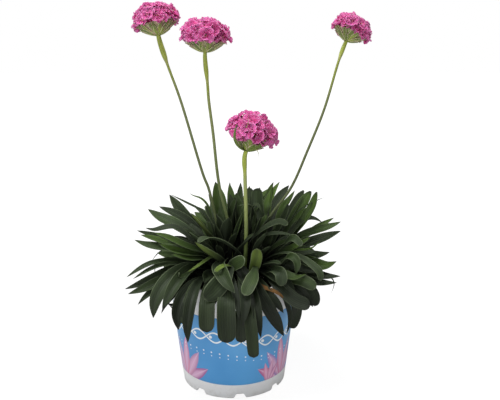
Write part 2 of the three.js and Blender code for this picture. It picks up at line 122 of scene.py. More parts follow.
# Shader sums: a Wire is one socket of a material

class Wire:
    def __init__(self, paint, socket):
        self.paint = paint
        self.socket = socket

    def math(self, operation, *others):
        sockets = {i: value for i, value in enumerate((self, *others))}
        return self.paint.node("ShaderNodeMath", {"operation": operation}, sockets)

    def __add__(self, other):
        return self.math("ADD", other)

    def __sub__(self, other):
        return self.math("SUBTRACT", other)

    def __rsub__(self, other):
        return self.paint.node("ShaderNodeMath", {"operation": "SUBTRACT"}, {0: other, 1: self})

    def __mul__(self, other):
        return self.math("MULTIPLY", other)

    def __truediv__(self, other):
        return self.math("DIVIDE", other)

    def __pow__(self, other):
        return self.math("POWER", other)

    def __abs__(self):
        return self.math("ABSOLUTE")

    __radd__ = __add__
    __rmul__ = __mul__

    def sin(self):
        return self.math("SINE")

    def clip(self):
        return self.math("MAXIMUM", 0).math("MINIMUM", 1)

    def ramp(self, low, high):  # 0 at low, 1 at high, smooth between
        return self.paint.node("ShaderNodeMapRange", {"interpolation_type": "SMOOTHSTEP"},
                               {"Value": self, "From Min": low, "From Max": high})


class Paint:
    def __init__(self, name):
        self.material = bpy.data.materials.new(name)
        self.material.use_nodes = True
        self.tree = self.material.node_tree
        self.shader = self.tree.nodes["Principled BSDF"]
        self.material.diffuse_color = (0.5, 0.5, 0.5, 1)

    def node(self, kind, settings=None, sockets=None, output=0):
        made = self.tree.nodes.new(kind)
        for name, value in (settings or {}).items():
            setattr(made, name, value)
        for name, value in (sockets or {}).items():
            self.fill(made.inputs[name], value)
        return Wire(self, made.outputs[output])

    def fill(self, socket, value):
        if isinstance(value, Wire):
            self.tree.links.new(value.socket, socket)
        elif isinstance(value, tuple) and socket.type == "RGBA":
            socket.default_value = (*value, 1)
        else:
            socket.default_value = value

    def place(self):  # where a point is on the piece, in metres
        return self.node("ShaderNodeTexCoord", output="Object")

    def axis(self, letter):
        return self.node("ShaderNodeSeparateXYZ", None, {0: self.place()}, letter)

    def mark(self, name):  # a value that the mesh carries
        return self.node("ShaderNodeAttribute", {"attribute_name": name}, None, "Fac")

    def grain(self, scale, detail=3, roughness=0.5, stretch=(1, 1, 1)):
        spread = self.node("ShaderNodeMapping", None, {"Vector": self.place(), "Scale": stretch})
        return self.node("ShaderNodeTexNoise", None,
                         {"Vector": spread, "Scale": scale, "Detail": detail, "Roughness": roughness})

    def mix(self, share, first, second):
        return self.node("ShaderNodeMix", {"data_type": "RGBA"}, {0: share, 6: first, 7: second}, 2)

    def finish(self, **sockets):
        for name, value in sockets.items():
            self.fill(self.shader.inputs[name.replace("_", " ")], value)
        return self.material

    def bump(self, height, depth):  # depth in millimetres
        return self.node("ShaderNodeBump", None, {"Height": height, "Distance": depth * mm, "Strength": 1})


# Mesh building

def drawer(seed):  # a repeatable draw of numbers from 0 to 1
    state = seed * 7919 + 17
    while True:
        state = state * 16807 % 2147483647
        yield state / 2147483647


def between(low, high, share):
    return low + (high - low) * share


def smooth(x):
    x = np.clip(x, 0, 1)
    return x * x * (3 - 2 * x)


def unit(vectors):
    return vectors / np.linalg.norm(vectors, axis=-1, keepdims=True)


def heading(bearing, slope):  # both in degrees
    bearing, slope = math.radians(bearing), math.radians(slope)
    flat = math.cos(slope)
    return np.array([flat * math.cos(bearing), flat * math.sin(bearing), math.sin(slope)])


def turns(sides):  # bearings all round, in radians
    return np.linspace(0, 2 * math.pi, sides, endpoint=False)


def smoothPath(knots, count):  # a curve through the knots, spaced evenly in each stretch
    knots = np.array(knots, float)
    ends = np.vstack([2 * knots[0] - knots[1], knots, 2 * knots[-1] - knots[-2]])
    place = []
    for i in range(len(knots) - 1):
        a, b, c, d = ends[i:i + 4]
        gaps = [max(1e-6, np.linalg.norm(q - p)) ** 0.5 for p, q in ((a, b), (b, c), (c, d))]
        into = ((b - a) / gaps[0] - (c - a) / (gaps[0] + gaps[1]) + (c - b) / gaps[1]) * gaps[1]
        away = ((c - b) / gaps[1] - (d - b) / (gaps[1] + gaps[2]) + (d - c) / gaps[2]) * gaps[1]
        steps = max(2, round(count / (len(knots) - 1)))
        t = np.linspace(0, 1, steps, endpoint=False)[:, None]
        place.append(b * (2 * t**3 - 3 * t**2 + 1) + into * (t**3 - 2 * t**2 + t)
                     + c * (3 * t**2 - 2 * t**3) + away * (t**3 - t**2))
    return np.vstack([*place, knots[-1:]])


def lengths(path):  # how far along each point lies
    return np.r_[0, np.cumsum(np.linalg.norm(np.diff(path, axis=0), axis=1))]


def spans(path):  # the same, as a share of the whole length
    reached = lengths(path)
    return reached / reached[-1]


def profileAt(knots, shares):
    path = smoothPath(knots, 60)
    return np.interp(shares, path[:, 0], path[:, 1])


class Gatherer:  # collects points, faces and per-point marks, then makes one piece
    def __init__(self):
        self.points, self.faces, self.marks, self.count = [], [], [], 0

    def add(self, points, faces, **marks):
        points = points.reshape(-1, 3)
        if turnedIn(points, faces):
            faces = [face[::-1] for face in faces]
        self.faces += [[corner + self.count for corner in face] for face in faces]
        self.points.append(points)
        self.marks.append((len(points), marks))
        self.count += len(points)

    def makePiece(self, name, material, slot, nodes=(), sharpAngle=None):
        mesh = bpy.data.meshes.new(name)
        mesh.from_pydata((np.vstack(self.points) * mm).tolist(), [], self.faces)
        for key in sorted({key for _, marks in self.marks for key in marks}):
            layer = mesh.attributes.new(key, "FLOAT", "POINT")
            values = [np.broadcast_to(np.ravel(marks.get(key, 0)), size) for size, marks in self.marks]
            layer.data.foreach_set("value", np.concatenate(values).astype(np.float32))
        mesh.polygons.foreach_set("use_smooth", np.ones(len(mesh.polygons), bool))
        if sharpAngle:
            mesh.set_sharp_from_angle(angle=math.radians(sharpAngle))
        mesh.materials.append(material)
        piece = bpy.data.objects.new(name, mesh)
        bpy.context.scene.collection.objects.link(piece)
        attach(piece, "root")
        if nodes:
            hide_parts(*nodes)
        print(f"{name}: {sum(len(p.vertices) - 2 for p in mesh.polygons)} triangles")
        return piece


def turnedIn(points, faces):  # true if the closed skin's faces point inwards
    volume = 0
    for sides in {len(face) for face in faces}:
        corners = points[np.array([face for face in faces if len(face) == sides])]
        for i in range(1, sides - 1):
            volume += np.einsum("ij,ij->", corners[:, 0], np.cross(corners[:, i], corners[:, i + 1]))
    return volume < 0


def sheetFaces(rows, columns):  # a thin closed sheet: upper side, under side and the rim between them
    top = np.arange(rows * columns).reshape(rows, columns)
    under = top + rows * columns
    faces = []
    for side, step in ((top, 1), (under, -1)):
        quads = np.stack([side[:-1, :-1], side[:-1, 1:], side[1:, 1:], side[1:, :-1]], -1)
        faces += quads.reshape(-1, 4)[:, ::step].tolist()
    loop = [*top[0], *top[1:, -1], *top[-1, -2::-1], *top[-2:0:-1, 0]]
    size = rows * columns
    for a, b in zip(loop, loop[1:] + loop[:1]):
        faces.append([int(a), int(a + size), int(b + size), int(b)])
    return faces


def overSheet(values, shape):  # one value a point, for both sides of a sheet
    return np.tile(np.broadcast_to(values, shape).ravel(), 2)


def tubeSkin(path, radii, sides):
    along = unit(np.gradient(path, axis=0))
    least = np.eye(3)[np.argmin(np.abs(along.mean(0)))]
    first = unit(np.cross(along, least))
    second = np.cross(along, first)
    turn = turns(sides)
    radii = np.array(radii, float)
    if radii.ndim < 2:
        radii = np.broadcast_to(radii, len(path))[:, None] + np.zeros(sides)
    ring = np.cos(turn)[:, None] * first[:, None] + np.sin(turn)[:, None] * second[:, None]
    return path[:, None] + radii[..., None] * ring


def ringFaces(rings, sides):
    at = np.arange(rings * sides).reshape(rings, sides)
    after = np.roll(at, -1, 1)
    faces = np.stack([at[:-1], after[:-1], after[1:], at[1:]], -1).reshape(-1, 4).tolist()
    return [*faces, at[0, ::-1].tolist(), at[-1].tolist()]


def addTube(gather, path, radii, sides, **marks):
    points = tubeSkin(path, radii, sides)
    along = np.repeat(np.linspace(0, 1, len(path)), sides)
    gather.add(points, ringFaces(len(path), sides), along=along, **marks)


def lathe(profile, sides):  # profile rows of (radius, height), from the axis round to the axis
    turn = turns(sides)
    profile = np.array(profile, float)
    flat = profile[:, :1, None] * np.stack([np.cos(turn), np.sin(turn)], -1)
    height = np.broadcast_to(profile[:, 1, None, None], (len(profile), sides, 1))
    return np.concatenate([flat, height], -1)


# The pot and its label

potLow, potHigh = boxOf("pot")
labelLow, labelHigh = boxOf("pot_label")
pot = {
    "height": potHigh[2], "rim": 60, "foot": 47.7, "wall": 1.5, "lip": 1.1, "lipHeight": 6,
    "plate": 5, "plateThickness": 1.4, "centreFoot": 9, "labelRecess": 0.6, "labelGap": 0.12,
    "arches": 8, "archWidth": 11, "archHeight": 4, "firstArch": -82.5, "sides": 256,
    "holes": 6, "holeRadius": 3.5, "holeReach": 30, "holeSides": 24, "cutter": (2, 9), "footFlare": 1.6,
    "sharpAngle": 38,
}


def wallRadius(height):
    return pot["foot"] + (pot["rim"] - pot["foot"]) * height / pot["height"]


def potProfile():  # radius, height and how much of an arch lifts the point
    def inner(height):
        return wallRadius(height) - pot["wall"]

    recess = pot["labelRecess"]
    low, high = labelLow[2] - pot["labelGap"], labelHigh[2] + pot["labelGap"]
    lip, top = pot["lip"], pot["height"]
    shelf = top - pot["lipHeight"]
    plateTop = pot["plate"] + pot["plateThickness"]
    return [
        (0.01, 0, 0), (pot["centreFoot"], 0, 0), (pot["centreFoot"] + 0.5, 0.3, 0),
        (pot["centreFoot"] + pot["footFlare"], pot["plate"], 0),
        (inner(6) - 0.6, pot["plate"], 0), (inner(5), 4.6, 0.3), (inner(0) + 0.3, 0, 1),
        (wallRadius(0) - 0.3, 0, 1), (wallRadius(0), 0.4, 0.92), (wallRadius(6), 6, 0),
        (wallRadius(low) - 0.05, low - 0.4, 0), (wallRadius(low) - 0.2, low, 0),
        (wallRadius(low) - recess, low, 0), (wallRadius(high) - recess, high, 0),
        (wallRadius(high) - 0.2, high, 0), (wallRadius(high), high + 0.3, 0),
        (wallRadius(shelf) - 0.1, shelf - 0.6, 0), (wallRadius(shelf) + 0.15, shelf - 0.1, 0),
        (wallRadius(shelf) + lip - 0.2, shelf + 0.4, 0), (wallRadius(shelf) + lip, shelf + 1, 0),
        (pot["rim"] + lip - 0.1, top - 1.2, 0), (pot["rim"] + lip - 0.25, top - 0.4, 0),
        (pot["rim"] + lip - 0.8, top, 0), (inner(top) + 0.7, top, 0), (inner(top) + 0.1, top - 0.5, 0),
        (inner(top - 2), top - 2, 0), (inner(plateTop + 2), plateTop + 2, 0),
        (inner(plateTop) - 1.5, plateTop, 0), (0.01, plateTop, 0),
    ]


def archLift(turn):
    nearest = ((np.degrees(turn) - pot["firstArch"]) * pot["arches"] / 360 + 0.5) % 1 - 0.5
    reach = np.abs(nearest) * 2 * math.pi * pot["foot"] / pot["arches"] / (pot["archWidth"] / 2)
    return pot["archHeight"] * smooth((1.04 - reach) / 0.45)


def cutHoles(piece):
    cutter = Gatherer()
    for i in range(pot["holes"]):
        centre = heading(i * 360 / pot["holes"], 0) * pot["holeReach"]
        path = centre + np.array([(0, 0, height) for height in pot["cutter"]])
        addTube(cutter, path, pot["holeRadius"], pot["holeSides"])
    mesh = bpy.data.meshes.new("cutter")
    mesh.from_pydata((np.vstack(cutter.points) * mm).tolist(), [], cutter.faces)
    tool = bpy.data.objects.new("cutter", mesh)
    bpy.context.scene.collection.objects.link(tool)
    cut = piece.modifiers.new("holes", "BOOLEAN")
    cut.object = tool
    cut.solver = "EXACT"
    bpy.context.view_layer.objects.active = piece
    with bpy.context.temp_override(object=piece, active_object=piece, selected_objects=[piece]):
        bpy.ops.object.modifier_apply(modifier="holes")
    bpy.data.objects.remove(tool)
    piece.data.set_sharp_from_angle(angle=math.radians(pot["sharpAngle"]))


def potPlastic():
    paint = Paint("white_plastic")
    scuffs = paint.grain(60, 4).ramp(0.52, 0.7)
    orangePeel = paint.grain(900, 2)
    flow = paint.grain(22, 2, stretch=(1, 1, 6))
    dust = (1 - (paint.axis("Z") / mm).ramp(0, 22)) * paint.grain(140, 5, 0.7).ramp(0.5, 0.75)
    colour = paint.mix(scuffs * 0.25, ink("#e6e7e8"), ink("#d9dad9"))
    colour = paint.mix(dust * 0.35, colour, ink("#b9b2a6"))
    return paint.finish(
        Base_Color=colour, Roughness=0.34 + 0.12 * scuffs + 0.2 * dust,
        Normal=paint.bump(orangePeel * 0.25 + flow * 0.75, 0.12), Specular_IOR_Level=0.42)


def addPot():
    profile = np.array(potProfile())
    rings = lathe(profile[:, :2], pot["sides"])
    turn = turns(pot["sides"])
    rings[..., 2] += profile[:, 2, None] * archLift(turn)
    gather = Gatherer()
    gather.add(rings, ringFaces(len(profile), pot["sides"]))
    piece = gather.makePiece("nursery_pot", potPlastic(), "pot_plastic", ["pot"], pot["sharpAngle"])
    cutHoles(piece)


label = {
    "ground": "#58a3de", "deep": "#4a93cf", "glow": "#9bcbea", "white": "#f1f4f5",
    "petalFoot": "#e3aecb", "petalVein": "#f0cfdf", "radius": 52.5, "edge": 0.3, "sharpAngle": 40,
    # pointed petals from one foot: bearing, foot height, length, width, degrees apart, lean, how many
    "fans": [
        (-31, 8, 46, 11, 25, 8, 5), (-52, 9, 26, 6, 22, -12, 3), (211, 8, 46, 11, 25, -8, 5),
        (82, 8, 44, 11, 27, 6, 5), (112, 9, 26, 6, 24, -14, 3),
    ],
    "tints": ["#b0508f", "#c587ad", "#d77da0", "#9a7cc0", "#c4467f"],
    "frayed": 0.22, "garland": {"height": 58, "sag": 3.5, "loops": 11, "swing": 4.6, "half": 0.62},
    "beads": [(22, 0.25, 58, 1.3), (44, 0, 43, 0.55), (44, 0, 39.5, 0.35)],  # how many, first, height, radius
}


def labelFilm():
    paint = Paint("printed_film")
    east, north, height = paint.axis("X"), paint.axis("Y"), paint.axis("Z") / mm
    turn = north.math("ARCTAN2", east) / (2 * math.pi)
    girth = 2 * math.pi * label["radius"]
    cloud, fray = paint.grain(16, 2), paint.grain(170, 4, 0.6)
    colour = paint.mix(cloud.ramp(0.35, 0.7), ink(label["deep"]), ink(label["ground"]))
    colour = paint.mix(height.ramp(30, 80) * cloud.ramp(0.2, 0.8) * 0.4, colour, ink(label["glow"]))
    for bearing, foot, long, short, apart, lean, count in label["fans"]:
        aside = ((turn + (0.5 - bearing / 360)).math("FRACT") - 0.5) * girth
        for i in sorted(range(count), key=lambda i: -abs(i - (count - 1) / 2)):
            tilt = math.radians(90 + lean + apart * (i - (count - 1) / 2))
            half = long / 2 * (1 - 0.1 * abs(i - (count - 1) / 2))
            rise = height - foot
            width = abs(rise * math.cos(tilt) - aside * math.sin(tilt)) / (short / 2)
            out = (aside * math.cos(tilt) + rise * math.sin(tilt)) / half - 1
            reach = out ** 2 + width + (fray - 0.5) * label["frayed"]
            shade = paint.mix(reach.ramp(0.2, 0.95), ink(label["petalFoot"]), ink(label["tints"][i]))
            shade = paint.mix((1 - width.ramp(0.02, 0.12)) * 0.5, shade, ink(label["petalVein"]))
            colour = paint.mix((1 - reach.ramp(0.86, 1)) * 0.88, colour, shade)
    chain, edge = label["garland"], label["edge"]
    sway = (turn * (4 * math.pi)).sin() * chain["sag"] + chain["height"]
    loops = (turn * (2 * math.pi * chain["loops"])).sin() * chain["swing"]
    white = 0
    for line in (sway + loops, sway - loops):
        white = 1 - abs(height - line).ramp(chain["half"], chain["half"] + edge) + white
    for count, first, middle, radius in label["beads"]:
        aside = ((turn * count + first).math("FRACT") - 0.5) * (girth / count)
        rise = height - sway - (middle - chain["height"])
        white = 1 - ((aside * aside + rise * rise) ** 0.5).ramp(radius, radius + edge) + white
    colour = paint.mix(white.clip() * 0.92, colour, ink(label["white"]))
    sheen = paint.grain(45, 3)
    return paint.finish(Base_Color=colour, Roughness=0.3 + 0.12 * sheen, Specular_IOR_Level=0.45,
                        Normal=paint.bump(sheen, 0.1))


def addLabel():
    recess, gap = pot["labelRecess"], pot["labelGap"]
    low, high = labelLow[2], labelHigh[2]

    def inner(height):
        return wallRadius(height) - recess + gap

    profile = [(inner(low), low), (wallRadius(low) - 0.08, low), (wallRadius(low), low + 0.08)]
    profile += [(wallRadius(h), h) for h in np.linspace(low + 2, high - 2, 12)]
    profile += [(wallRadius(high), high - 0.08), (wallRadius(high) - 0.08, high), (inner(high), high)]
    rings = lathe(profile, pot["sides"])
    faces = ringFaces(len(profile), pot["sides"])[:-2]
    first = np.arange(pot["sides"])
    last = first + (len(profile) - 1) * pot["sides"]
    after = np.roll(first, -1)
    closing = np.stack([last, np.roll(last, -1), after, first], -1).tolist()
    gather = Gatherer()
    gather.add(rings, faces + closing)
    gather.makePiece("label_film", labelFilm(), "label_print", ["pot_label"], label["sharpAngle"])


addPot()
addLabel()


# Compost

compost = {"top": 95, "gap": 0.3, "floor": 6.7, "sides": 120, "rings": 44, "crumb": 1.1,
           "shoulder": 4, "lumps": 1.1, "crumbs": 420, "crumbSizes": (0.5, 1.7), "grit": 34, "seed": 5}


def soilHeight(x, y):
    waves = (0.5 * math.sin(x * 0.31 + 1) * math.cos(y * 0.27) + 0.3 * math.sin(x * 0.62 - y * 0.41)
             + 0.2 * math.cos(x * 0.9 + y * 0.83))
    lumps = noise.fractal(Vector((x, y, 0)) * 0.33, 0.8, 2.1, 4) * compost["lumps"]
    return compost["top"] + compost["crumb"] * waves + lumps - 0.5


def addLump(gather, centre, size, draw, **marks):
    turn = turns(7)
    rings = []
    for slope in (-80, -35, 15, 55, 85):
        reach = math.cos(math.radians(slope)) * size
        rows = np.stack([np.cos(turn) * reach, np.sin(turn) * reach,
                         np.full(7, math.sin(math.radians(slope)) * size * 0.75)], -1)
        rings.append(rows * (0.75 + 0.5 * np.array([[next(draw)] for _ in turn])))
    gather.add(np.array(rings) + centre, ringFaces(5, 7), **marks)


def compostEarth():
    paint = Paint("peat_compost")
    coarse, fine = paint.grain(260, 6, 0.7), paint.grain(1500, 4, 0.7)
    fibre = paint.grain(420, 3, 0.6, stretch=(1, 6, 1)).ramp(0.58, 0.7)
    colour = paint.mix(coarse.ramp(0.35, 0.7), ink("#0e0a07"), ink("#241a12"))
    colour = paint.mix(fibre * 0.4, colour, ink("#4a3826"))
    colour = paint.mix(paint.mark("grit"), colour, ink("#a8a090"))
    return paint.finish(Base_Color=colour, Roughness=0.93, Specular_IOR_Level=0.25,
                        Normal=paint.bump(coarse * 0.7 + fine * 0.3, 0.9))


def addCompost():
    shoulder = compost["top"] - compost["shoulder"]
    edge = wallRadius(shoulder) - pot["wall"] - compost["gap"]
    foot = wallRadius(compost["floor"]) - pot["wall"] - compost["gap"]
    shares = np.linspace(1, 0, compost["rings"]) ** 0.8
    profile = [(0.01, compost["floor"]), (foot, compost["floor"]), (edge, shoulder)]
    profile += [(max(0.01, (edge - 0.1) * share), compost["top"]) for share in shares]
    rings = lathe(profile, compost["sides"])
    for ring in rings[3:]:
        for point in ring:
            point[2] = soilHeight(point[0], point[1])
    gather = Gatherer()
    gather.add(rings, ringFaces(len(profile), compost["sides"]))
    draw = drawer(compost["seed"])
    for i in range(compost["crumbs"]):
        place = heading(360 * next(draw), 0) * (edge - 2) * next(draw) ** 0.5
        size = between(*compost["crumbSizes"], next(draw) ** 2)
        place[2] = soilHeight(place[0], place[1]) + 0.2 * size
        addLump(gather, place, size, draw, grit=1 if i < compost["grit"] else 0)
    gather.makePiece("compost_fill", compostEarth(), "compost", ["compost"])


addCompost()


# Leaves. Each has its tip's bearing, elevation and distance from the tuft's centre, its width, how far it
# curves sideways, its kind, and how far it rolls about its length (all angles in degrees). A fill has how
# many leaves, then from and to for their bearing, elevation and distance. A slot for stems has its bearing,
# half width and reach

tuft = {
    "centre": (0, 0, 100), "crownRadius": 8, "crownTop": 106, "rootBottom": 64,
    "slots": {"right": (27, 1.8, 66), "left": (150, 1.9, 34), "front": (296, 2.2, 32)},
    "slotEnd": 0.3, "slotTaper": 14, "rimSpan": (48, 56, 63), "overSoil": 2.5, "overRim": 1.5,
    # heart and shade: the centre and the near and far reach of the painted shade laid on the leaves
    "rise": 10, "lowRise": 46, "heart": (2, -4, 104), "shade": (25, 75), "turnToLight": 40,
}

rosettes = {
    "back": {
        "crown": (0, 14), "wedge": ("right", "left"), "seed": 40,
        "fills": [(33, 32, 136, -14, 62, 84, 102), (7, 45, 135, 58, 82, 60, 84)],
        "leaves": [
            (96, 54, 92, 6, -8, "young"), (84, 54, 92, 7, 0, "old"), (76, 51, 90, 10, 10, "old"),
            (67, 48, 92, 14, 0, "grey"), (70, 80, 70, 13, 0, "sharp", 10), (100, 72, 74, 9, 6, "old", -20),
        ],
    },
    "left": {
        "crown": (-8.5, -8.5), "wedge": ("left", "front"), "seed": 11,
        "fills": [(15, 154, 212, -14, 60, 60, 76), (7, 170, 288, 55, 82, 58, 80)],
        "leaves": [
            (227, 63, 78, 10, 0, "greySpoon"), (290, 44, 76, 7, 0, "old"), (224, 44, 74, 7, 10),
            (287, 65, 74, 4, -12, "young"), (274, -6, 88, 6, 0, "old"), (262, 2, 74, 9, 0, "old"),
            (251, 12, 70, 9, 10, "old"), (283, 4, 76, 8, 0, "old"),
        ],
    },
    "right": {
        "crown": (13.3, -4.4), "wedge": ("front", "right"), "seed": 8,
        "fills": [(12, 350, 384, -14, 58, 60, 78), (6, 302, 380, 55, 82, 58, 80)],
        "leaves": [
            (331, 10, 88, 9, 0, "old"), (304, 34, 70, 8, 0, "old"), (303, 22, 80, 8, 0, "old"),
            (301, 42, 76, 7, 0, "old"), (330, 35, 72, 7), (306, 8, 70, 9, 0, "old"),
            (312, 0, 78, 10, -8, "old"), (338, 20, 84, 9, 8, "old", -25),
        ],
    },
}
# Kinds of leaf: the outline, how pale the margins, and how young, old, grey, lime or dry it is
leafKinds = {
    "sharp": {}, "bright": {"young": 0.35, "pale": 0.25}, "young": {"young": 1}, "old": {"old": 1},
    "fresh": {"young": 0.8, "pale": 0.3, "lime": 0.35}, "grey": {"grey": 1, "pale": 0.5}, "dry": {"dry": 1},
    "blunt": {"form": "blunt", "old": 0.55}, "oldBlunt": {"form": "blunt", "old": 1},
    "greyBlunt": {"form": "blunt", "grey": 0.7, "old": 0.4},
    "olive": {"form": "blunt", "young": 0.25, "old": 0.35, "pale": 0.3},
    "spoon": {"form": "spoon", "pale": 1, "old": 0.25, "young": 0.1},
    "greySpoon": {"form": "spoon", "grey": 0.9, "pale": 0.7, "old": 0.2, "young": 0},
    "paleSharp": {"pale": 0.7, "old": 0.5, "young": 0},
    "broad": {"form": "broad", "old": 0.15, "young": 0.35},
    "oldBroad": {"form": "broad", "old": 0.9, "grey": 0.2},
    "lime": {"form": "spoon", "young": 0.9, "pale": 0.8, "lime": 0.4},
}
leafForm = {
    "sharp": [(0, 0.3), (0.18, 0.34), (0.34, 0.52), (0.5, 0.8), (0.64, 0.98), (0.73, 1), (0.8, 0.95),
              (0.86, 0.81), (0.92, 0.55), (0.965, 0.28), (1, 0.02)],
    "blunt": [(0, 0.26), (0.18, 0.32), (0.4, 0.52), (0.62, 0.86), (0.8, 1), (0.91, 0.98), (1, 0.86)],
    "broad": [(0, 0.28), (0.2, 0.34), (0.4, 0.54), (0.6, 0.84), (0.76, 1), (0.88, 0.94), (0.95, 0.68),
              (1, 0.18)],
    "spoon": [(0, 0.24), (0.36, 0.26), (0.54, 0.4), (0.68, 0.72), (0.8, 0.98), (0.89, 1), (1, 0.74)],
    "rows": 30, "columns": 9, "middle": 1.1, "margin": 0.36, "channel": (0.35, 0.95), "groove": 0.3,
    "rounded": ("blunt", "spoon"), "roundEnd": 0.9, "wave": 0.5, "twist": 38, "drawnTwist": 13,
    "sway": 2.6, "hook": 3.2, "inner": 20,
}
leafShares = 1 - (1 - np.linspace(0, 1, leafForm["rows"])) ** 1.35
